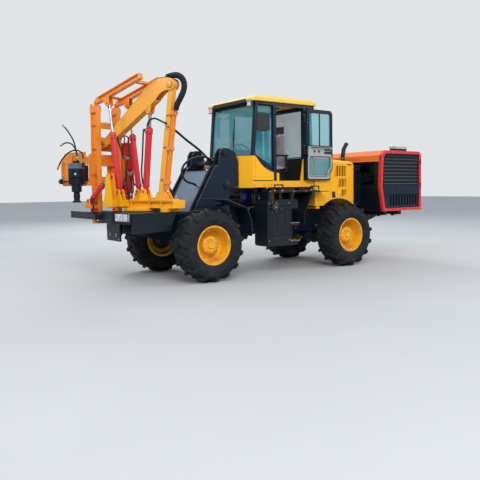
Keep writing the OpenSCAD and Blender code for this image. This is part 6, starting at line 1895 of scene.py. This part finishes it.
class RIG_OT_base_trim(bpy.types.Operator):
    """Bolt circle, pin keepers and hoses of the base beam and the column."""

    bl_idname = "rig.base_trim"
    bl_label = "Base and column trim"

    def execute(self, context):
        s = Shape(RIG).use("zinc")
        s.bolts(circle((0, 0, 1073), "XY", 272, 20), (0, 0, 1), 8, 6)
        s.bolts([(u, v, 1205) for u in (-540, -330, -300) for v in (-84, 84)], (0, 0, 1), 10, 8)
        s.bolts([(u, v, 1219.5) for u in (-560, -310) for v in (-84, 84)], (0, 0, 1), 11, 9)
        for u in (-680, 590):
            s.rod((u, 0, 1228), (u, 0, 1262), 18, 20, 2)
            s.bolt((u, 0, 1250), (0, 0, 1), 17, 14)
        # Keepers of the foot pins
        for v in (-RAIL_V, RAIL_V):
            for k in (-1, 1):
                s.box((266, v + k * 51 - 3, 1282), (318, v + k * 51 + 3, 1302), 1.5, 1)
                s.bolt((306, v + k * 53, 1292), (0, k, 0), 7, 5)
        s.use("yellow_paint")
        for v in (-279, 279):
            s.tube([(182, v, 1202), (362, v, 1202)], 4, 8)
        for v in (-120, 120):
            s.tube([(-738, v, 1203), (648, v, 1203)], 3.5, 6)
        s.ride("base_beam_trim", "rig_base", "yellow_paint")
        # Column: clamp bars, screws, straps and the head's cover
        lean = math.atan2(225, 1485)
        place = RIG @ Matrix.Translation((-461, 0, 1335)) @ Matrix.Rotation(-lean, 4, "Y")
        s = Shape(place).use("zinc")
        for z in (135, 625, 1135):
            s.bolts([(-60, v, z) for v in (-40, 40)], (-1, 0, 0), 7, 5)
        s.use("plastic")
        for z in (163, 633, 1093):
            s.lathe([(0, 0), (12, 0), (12, 3), (0, 3)], (40, 42, z), (0, 1, 0), 16)
        s.use("zinc")
        for z in (163, 633, 1093):
            s.bolts([(k, v * 42, z) for k in (20, 60) for v in (-1, 1)], (0, 1, 0), 6, 4)
        s.ride("column_clamps", "rig_base", "chrome")
        s = Shape(RIG).use("amber_paint")
        for v in (-1, 1):
            cap = [(0, 0), (46, 0), (52, 4), (52, 8), (44, 12), (0, 12)]
            s.lathe(cap, (HEAD_PIN[0], v * 70, HEAD_PIN[1]), (0, v, 0), 32)
        s.use("zinc")
        for v in (-1, 1):
            s.bolts(circle((HEAD_PIN[0], v * 81, HEAD_PIN[1]), "XZ", 30, 4), (0, v, 0), 7, 5)
        s.ride("column_head_caps", "rig_base", "amber_paint")
        # Ribbed sleeve from the pipes over the pivot to the boom's back
        s = Shape(RIG).use("hose")
        s.hose([
            (-694, 0, 2492), (-718, 0, 2560), (-776, 0, 2640), (-838, 0, 2730), (-862, 0, 2822),
            (-838, 0, 2908), (-770, 0, 2966), (-690, 0, 2986), (-600, 0, 2984), (-540, 0, 2976),
        ], 42, 16, pitch=15, depth=3.2, steps=14)
        piece = s.ride("boom_sleeve", None, "rubber")
        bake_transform(piece)
        s = Shape(RIG).use("hose")
        for i in range(2):
            v = -30 - i * 30
            s.hose([
                (-470, v, 1420), (-500, v - 20, 1360), (-520, v - 50, 1290), (-480, v - 70, 1240),
                (-400, -120, 1222), (-330, -100, 1216),
            ], 12, 10)
        s.ride("column_hoses", "rig_base", "rubber")
        # Long hose from the column's head to the tower
        s = Shape().use("hose")
        s.hose([
            (520, 560, 2262), (450, 520, 2262), (360, 450, 2236), (210, 360, 2180), (71, 300, 2112),
            (-70, 288, 2030), (-190, 286, 1950), (-300, 284, 1860), (-372, 282, 1780), (-420, 280, 1690),
        ], 18, 12, steps=8)
        s.use("brass")
        s.rod((516, 557, 2262), (545, 572, 2260), 22, 6, 2)
        piece = s.ride("tower_hose", None, "rubber")
        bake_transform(piece)
        # Hose from the lift cylinder's head to the column
        s = Shape(RIG).use("hose")
        s.hose([
            (-176, 52, 2290), (-200, 58, 2340), (-252, 62, 2384), (-330, 62, 2396), (-410, 60, 2372),
            (-500, 56, 2330), (-560, 50, 2306),
        ], 13, 10)
        s.use("brass")
        s.rod((-176, 50, 2270), (-176, 52, 2292), 16, 6, 2)
        s.ride("lift_hose", "rig_base", "rubber")
        return {"FINISHED"}


class RIG_OT_boom_trim(bpy.types.Operator):
    """Weld beads, pin covers and hoses of the boom."""

    bl_idname = "rig.boom_trim"
    bl_label = "Boom trim"

    def execute(self, context):
        s = Shape(RIG).use("amber_paint")
        back = [
            (-530, 2964), (-430, 2962), (-350, 2949), (-280, 2928), (-220, 2898), (-170, 2862), (790, 2126),
        ]
        under = [(-560, 2784), (-490, 2770), (-435, 2740), (-390, 2700), (-340, 2652), (700, 2050)]
        for line in (back, under):
            s.tube([(u, 57, z) for u, z in line], 3.5, 6)
        for (u, z), r in ((HEAD_PIN, 62), (MAST_PIN, 56)):
            s.ring([(r - 10, 0), (r, 0), (r, 6), (r - 10, 8)], (u, 58, z), (0, 1, 0), 32)
        s.use("zinc")
        s.bolts(circle((MAST_PIN[0], 66, MAST_PIN[1]), "XZ", 40, 3), (0, 1, 0), 7, 5)
        s.mirrored()
        s.use("hose")
        # Two pipes along the back, under three clamps
        for v in (-22, 22):
            s.hose([
                (-560, v, 2974), (-430, v, 2974), (-340, v, 2960), (-270, v, 2936), (-170, v, 2876),
                (200, v, 2592), (520, v, 2346), (600, v, 2290),
            ], 9, 10)
        s.use("zinc")
        for u, z in ((-300, 2946), (0, 2744), (300, 2514)):
            s.box((u - 12, -40, z - 12), (u + 12, 40, z + 12), 4)
        s.ride("boom_trim", "boom", "amber_paint")
        return {"FINISHED"}


class RIG_OT_mast_trim(bpy.types.Operator):
    """Screws, wear strips, weld beads and hoses of the mast."""

    bl_idname = "rig.mast_trim"
    bl_label = "Mast trim"

    def execute(self, context):
        s = Shape(RIG).use("orange_paint")
        # Weld beads at the cross plates
        for z in (875, 965, 1440, 1570, 1740, 1790, 2330, 2420):
            s.tube([(852, -160, z), (852, 160, z)], 3.5, 6)
        for v in (-RAIL_V, RAIL_V):
            for k in (1, -1):
                cheek = [(708, 2560), (708, 2640), (740, 2665), (800, 2665), (800, 2640)]
                s.prism(cheek, "Y", v + k * 43, v + k * 51, 2)
        s.use("chrome")
        # Ground guide strips on the rails' front faces
        for v in (-RAIL_V, RAIL_V):
            for k in (-1, 1):
                s.box((849.4, v + k * 18, 900), (850.4, v + k * 30, 2600))
        s.use("zinc")
        for v in (-RAIL_V, RAIL_V):
            s.bolts([(758, v + k * 51, 2610) for k in (-1, 1)], (0, 1, 0), 8, 6)
            s.rod((FOLD_PIN[0], v - 48, FOLD_PIN[1]), (FOLD_PIN[0], v + 48, FOLD_PIN[1]), 17, 20, 3)
        s.bolts([(850, v, z) for v in (-120, -40, 40, 120) for z in (920, 2375)], (1, 0, 0), 9, 6)
        s.rod((MAST_PIN[0], -86, MAST_PIN[1]), (MAST_PIN[0], 86, MAST_PIN[1]), 26, 24, 3)
        for v in (-73, 73):
            s.box((740, v - 3, 2112), (780, v + 3, 2132), 1.5, 1)
        s.use("red_paint")
        # Bracket and valve at the foot of the pitch cylinder
        s.box((716, 268, 1010), (790, 330, 1082), 8)
        s.use("hose")
        s.hose([
            (730, 330, 1046), (700, 372, 1052), (660, 386, 1110), (650, 380, 1180), (690, 366, 1230),
            (730, 360, 1226),
        ], 10, 10)
        s.use("brass")
        s.bolt((760, 330, 1046), (0, 1, 0), 12, 14)
        s.ride("mast_trim", "lower_mast", "orange_paint")
        s = Shape(FOLD).use("orange_paint")
        for v in (-RAIL_V, RAIL_V):
            s.tube([(-998, v, 54), (-56, v, 54)], 3, 6)
        s.use("zinc")
        for v in (-RAIL_V, RAIL_V):
            s.bolts([(0, v + k * 37, 0) for k in (-1, 1)], (0, 1, 0), 11, 4)
        s.ride("upper_mast_trim", "upper_mast", "orange_paint")
        return {"FINISHED"}


# Middles of the two blocks where the fold cylinders' hoses branch
HEAD_BRANCH = (350, -30, 1852)
FOOT_BRANCH = (316, -60, 1617)

# Each barrel with its foot, its rod's eye, both radii, its length and the side of its ports
BARRELS = [
    ("fold_barrel_left", (272, RAIL_V, 1330), (466, RAIL_V, 2662), 42, 22, 880, 1),
    ("fold_barrel_right", (272, -RAIL_V, 1330), (466, -RAIL_V, 2662), 42, 22, 880, -1),
    ("lift_barrel", (-70, 0, 1330), (-190, 0, 2520), 48, 27, 930, -1),
    ("pitch_barrel", (800, 325, 1190), (345, 325, 1570), 36, 20, 390, 1),
]


class RIG_OT_cylinder_trim(bpy.types.Operator):
    """Glands, seals, ports, nipples and hose loops of the cylinders."""

    bl_idname = "rig.cylinder_trim"
    bl_label = "Cylinder trim"

    def execute(self, context):
        for name, foot, eye, r, rod, reach, side in BARRELS:
            foot, eye = Vector(foot), Vector(eye)
            d = (eye - foot).normalized()
            out = vec(0, -side, 0)
            back = d.cross(out).normalized()
            s = Shape(RIG).use("red_paint")
            head = foot + d * (reach - 40)
            s.ring([(r + 8, -26), (r + 11, -22), (r + 11, -8), (r + 8, -4)], head, d, 32)
            s.ring([(r + 8, 10), (r + 11, 13), (r + 11, 34), (r + 8, 38)], head, d, 32)
            s.ring([(r, 0), (r + 5, 2), (r + 5, 18), (r, 22)], foot + d * 104, d, 32)
            s.use("gasket")
            s.ring([
                (rod + 0.6, 0), (rod + 7, 0), (rod + 5, 7), (rod + 1.2, 9),
            ], foot + d * (reach + 25), d, 28)
            s.use("zinc")
            for k in range(4):
                t = k * math.pi / 2 + 0.4
                s.bolt(head + d * 52 + (out * math.cos(t) + back * math.sin(t)) * (r - 6), d, 6, 4)
            low, high = foot + d * 110 + out * (r + 14), foot + d * (reach - 30) + out * (r + 18)
            s.rod(low, low + out * 16, 15, 6, 2)
            s.rod(high, high + out * 16, 15, 6, 2)
            s.rod(foot + back * 36, foot + back * 46, 5, 8, 1)
            # The lift cylinder's hose runs from its head port along the barrel to its foot
            if name == "lift_barrel":
                s.use("hose")
                a = high + out * 20
                far = out * (r + 62)
                s.hose([
                    a, a + out * 22 + d * 22, a + out * 30 - d * 60, foot + d * reach * 0.6 + far,
                    foot + d * 300 + far, foot + d * 170 + out * (r + 34), foot + d * 116 + out * (r + 24),
                ], 12, 10)
                s.use("brass")
                s.rod(a - out * 6, a + out * 10, 13, 6, 2)
            s.ride(name + "_trim", name, "red_paint")
        for name, foot, eye, _, rod, _, _ in BARRELS:
            rod_body = name.replace("barrel", "rod")
            foot, eye = Vector(foot), Vector(eye)
            d = (eye - foot).normalized()
            back = d.cross(vec(0, 1, 0)).normalized()
            s = Shape(RIG).use("red_paint")
            s.ring([(30, -27), (33, -25), (33, 25), (30, 27)], eye, (0, 1, 0), 32)
            s.ring([(rod + 7, -6), (rod + 10, -4), (rod + 10, 4), (rod + 7, 6)], eye - d * 50, d, 28)
            s.use("brass")
            s.rod(eye + back * 32, eye + back * 42, 5, 8, 1)
            s.ride(rod_body + "_trim", rod_body, "red_paint")
        self.branches()
        return {"FINISHED"}

    def branches(self):
        """Two branch blocks between the fold cylinders, with hoses to their ports and to the base."""
        s = Shape(RIG).use("zinc")
        for u, v, z in (HEAD_BRANCH, FOOT_BRANCH):
            s.box((u - 13, v - 40, z - 13), (u + 13, v + 40, z + 13), 3)
            for k in (-1, 1):
                s.rod((u, v + k * 38, z), (u, v + k * 56, z), 12, 6, 2)
            s.rod((u, v, z - 12), (u, v, z - 34), 12, 6, 2)
        s.use("hose")
        u, v, z = HEAD_BRANCH
        s.hose([
            (u, v, z - 30), (u - 4, v - 4, z - 90), (u - 24, v + 40, z - 170), (u - 34, v + 64, z - 290),
            (u - 44, v + 58, z - 420), (u - 56, v + 40, z - 540), (u - 64, v + 36, z - 640),
        ], 12, 10)
        u, v, z = FOOT_BRANCH
        s.hose([
            (u, v, z - 30), (u + 4, v - 16, z - 100), (u + 2, v - 34, z - 200), (u - 12, v - 22, z - 310),
            (u - 22, v - 4, z - 404),
        ], 12, 10)
        s.ride("branch_hoses", "rig_base", "rubber")
        for name, foot, eye, *_, side in BARRELS[:2]:
            foot = Vector(foot)
            d = (Vector(eye) - foot).normalized()
            for label, (u, v, z), at in (("head", HEAD_BRANCH, 850), ("foot", FOOT_BRANCH, 110)):
                port = foot + d * at + vec(0, -side * 74, 0)
                start = vec(u, v + side * 54, z)
                turn = vec(0, -side * 26, 0)
                fall = 60 if at > 400 else -46
                line = flow([
                    start, start + vec(0, side * 16, 0), start.lerp(port, 0.5) + turn * 0.6 - vec(0, 0, fall),
                    port + turn - vec(0, 0, fall), port + turn * 0.4, port,
                ])
                s = Shape(RIG).use("hose")
                s.tube(line, 11, 10)
                piece = s.ride(f"{name}_{label}_hose", None, "rubber")
                tuple(RIG @ port)
                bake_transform(piece)


class RIG_OT_tool_trim(bpy.types.Operator):
    """Fittings, screws and rings of the slide, the drill and the hammer."""

    bl_idname = "rig.tool_trim"
    bl_label = "Slide, drill and hammer trim"

    def execute(self, context):
        s = Shape(RIG).use("zinc")
        s.bolts([(874.5, v, z) for v in (-240, -160, 160, 240) for z in (1450, 1680, 1900)], (1, 0, 0), 9, 6)
        for v in (-150, 150):
            for z in (1500, 1840):
                s.rod((874, v, z), (892, v, z), 24, 20, 3)
        s.use("orange_paint")
        s.tube([(875, -94, 1556), (875, 94, 1556), (875, 94, 1794), (875, -94, 1794), (875, -94, 1556)], 4, 6)
        s.ride("slide_trim", "tool_slide", "orange_paint")
        # Drill arm: rolled rim, rib screws and knuckle greasers
        s = Shape(RIG).use("orange_paint")
        rim = [(936, 1953), (1340, 1953)] + arc(1340.5, 1825, 128, 80, 5, 8) + [
            (1468, 1452), (1450, 1432), (936, 1432),
        ]
        for v in (306, 283):
            s.tube([(u, v, z) for u, z in rim], 4, 8)
        s.use("zinc")
        s.bolts([(u, 305, z) for u, z in (
            (960, 1900), (960, 1490), (1120, 1900), (1300, 1900), (1420, 1780), (1430, 1520), (1290, 1460),
        )], (0, 1, 0), 9, 6)
        s.bolts([
            (u, 281, z) for u, z in ((980, 1900), (980, 1490), (1400, 1800), (1400, 1500))
        ], (0, -1, 0), 9, 6)
        for z in (1520, 1800):
            s.rod((901, 303, z), (901, 314, z), 5, 8, 1)
        # Drill head: flange rings, ground collar, socket ring, plugs and fittings
        u, v = DRILL_AXIS
        s.use("black_paint")
        for z, r in ((1552, 110), (1566, 123), (1744, 121)):
            s.ring([(r - 4, -4), (r + 1.5, -3), (r + 1.5, 3), (r - 4, 4)], (u, v, z), (0, 0, 1), 48)
        for t in turns_of(16):
            s.prism(turned([(104, 4), (118, 3), (118, -3), (104, -4)], t, u, v), "Z", 1456, 1548)
        s.ring([(46.3, 0), (50, 3), (50, 60), (46.3, 63)], (u, v, 1240), (0, 0, 1), 40)
        s.ring([(62, -1), (65, 1), (65, 20), (62, 23)], (u, v, 1176), (0, 0, 1), 40)
        s.use("zinc")
        s.bolts(circle((u, v, 1774), "XY", 78, turns_of(10)[1:5]), (0, 0, 1), 8, 6)
        s.bolts(circle((u, v, 1432), "XY", 88, 8), (0, 0, -1), 7, 5)
        s.use("brass")
        s.bolt((1035, 402, 1660), (0.8, -0.6, 0), 12, 8)
        s.rod((u - 20, v + 40, 1806), (u - 20, v + 40, 1828), 12, 6, 2)
        s.use("slate")
        s.ring([
            (121, -4), (125, -2), (125, 18), (122.6, 21), (122.6, 76), (121, 78),
        ], (u, v, 1694), (0, 0, 1), 56)
        s.use("pale_cap")
        s.lathe([
            (0, 0), (15, 0), (18, 3), (13, 8), (0, 9),
        ], (u - 0.69 * 122, v + 0.71 * 122, 1607), (-0.69, 0.71, 0), 24)
        s.use("zinc")
        s.fitting((1356, 400, 1540), (0, 0, 1), 10, 52)
        s.fitting((1394, 380, 1500), (0, -1, 0), 10, 44)
        s.use("gasket")
        s.ring([(12.4, 0), (18, 2), (18, 90), (12.4, 94)], (1120, 400, 1500), (1, 0, 0), 20)
        s.ride("drill_trim", "drill", "black_paint")
        # Hammer: tie rods, springs, caps and hoses
        u, v = HAMMER_AXIS
        s = Shape(RIG).use("red_paint")
        for du in (-78, 78):
            for dv in (-68, 68):
                s.rod((u + du * 0.98, v + dv, 1306), (u + du * 0.98, v + dv, 2106), 8, 12)
        for z in (1702, 1928):
            s.tube([(u - 95, v - 66, z), (u + 95, v - 66, z)], 5, 6)
        s.use("zinc")
        s.bolts([(u + du * 0.98, v + dv, 2126) for du in (-74, 74) for dv in (-58, 58)], (0, 0, 1), 10, 10)
        s.bolts([(u + du, v - 85, z) for du in (-54, 54) for z in (1740, 1890)], (0, -1, 0), 9, 6)
        s.bolts([(u + 95, v + dv, z) for dv in (-44, 44) for z in (1730, 1900)], (1, 0, 0), 9, 6)
        s.use("chrome")
        s.ring([(50.3, 0), (56, 3), (56, 18), (50.3, 21)], (u, v, 1196), (0, 0, 1), 36)
        turns = [i * math.pi / 8 for i in range(15)]
        coil = [(u + 60 * math.cos(t), v + 60 * math.sin(t), 1264 + 5.0 * t / 2) for t in turns]
        s.tube(coil, 5, 8)
        s.use("hose")
        s.hose([
            (u + 50, v, 2156), (u + 50, v - 4, 2210), (u + 70, v + 20, 2262), (u + 60, v + 100, 2260),
            (u + 40, v + 150, 2180), (u + 30, v + 160, 2060), (u + 10, -340, 1960),
        ], 11, 10)
        s.hose([
            (u - 50, v, 2156), (u - 50, v - 4, 2196), (u - 30, v + 30, 2240), (u - 10, v + 100, 2226),
            (u - 10, v + 140, 2140), (u - 20, v + 150, 2020), (u - 30, -340, 1940),
        ], 11, 10)
        s.use("brass")
        for du in (50, -50):
            s.fitting((u + du, v, 2196), (0, 0, -1), 10, 48)
        s.use("orange_paint")
        s.bolts([(u + du, -363, z) for du in (-60, 50) for z in (1480, 1660, 1860)], (0, 1, 0), 9, 6)
        s.ride("hammer_trim", "hammer", "red_paint")
        return {"FINISHED"}


# Panel and start

CLASSES = [
    RigSizes, RigColours,
    RIG_OT_camera, RIG_OT_stage, RIG_OT_drill_hoses, RIG_OT_finishes, RIG_OT_tyres, RIG_OT_cab_trim,
    RIG_OT_door_trim, RIG_OT_driver_place, RIG_OT_hood_trim, RIG_OT_compressor_trim, RIG_OT_step_trim,
    RIG_OT_chassis_trim, RIG_OT_tower_trim, RIG_OT_front_trim, RIG_OT_base_trim, RIG_OT_boom_trim,
    RIG_OT_mast_trim, RIG_OT_cylinder_trim, RIG_OT_tool_trim,
]


class RIG_PT_panel(bpy.types.Panel):
    """Lists the settings and the groups of pieces."""

    bl_idname = "RIG_PT_panel"
    bl_label = "Pile driver rig"
    bl_space_type = "VIEW_3D"
    bl_region_type = "UI"
    bl_category = "Rig"

    def draw(self, context):
        for group in (context.scene.rig_sizes, context.scene.rig_colours):
            column = self.layout.column()
            for name in group.__annotations__:
                column.prop(group, name)
        for cls in CLASSES[2:]:
            self.layout.operator(cls.bl_idname)


def register():
    for cls in CLASSES + [RIG_PT_panel]:
        bpy.utils.register_class(cls)
    bpy.types.Scene.rig_sizes = PointerProperty(type=RigSizes)
    bpy.types.Scene.rig_colours = PointerProperty(type=RigColours)


def unregister():
    del bpy.types.Scene.rig_colours
    del bpy.types.Scene.rig_sizes
    for cls in reversed(CLASSES + [RIG_PT_panel]):
        bpy.utils.unregister_class(cls)


def main():
    register()
    for cls in CLASSES[2:]:
        group, name = cls.bl_idname.split(".")
        getattr(getattr(bpy.ops, group), name)()


if __name__ == "__main__":
    main()
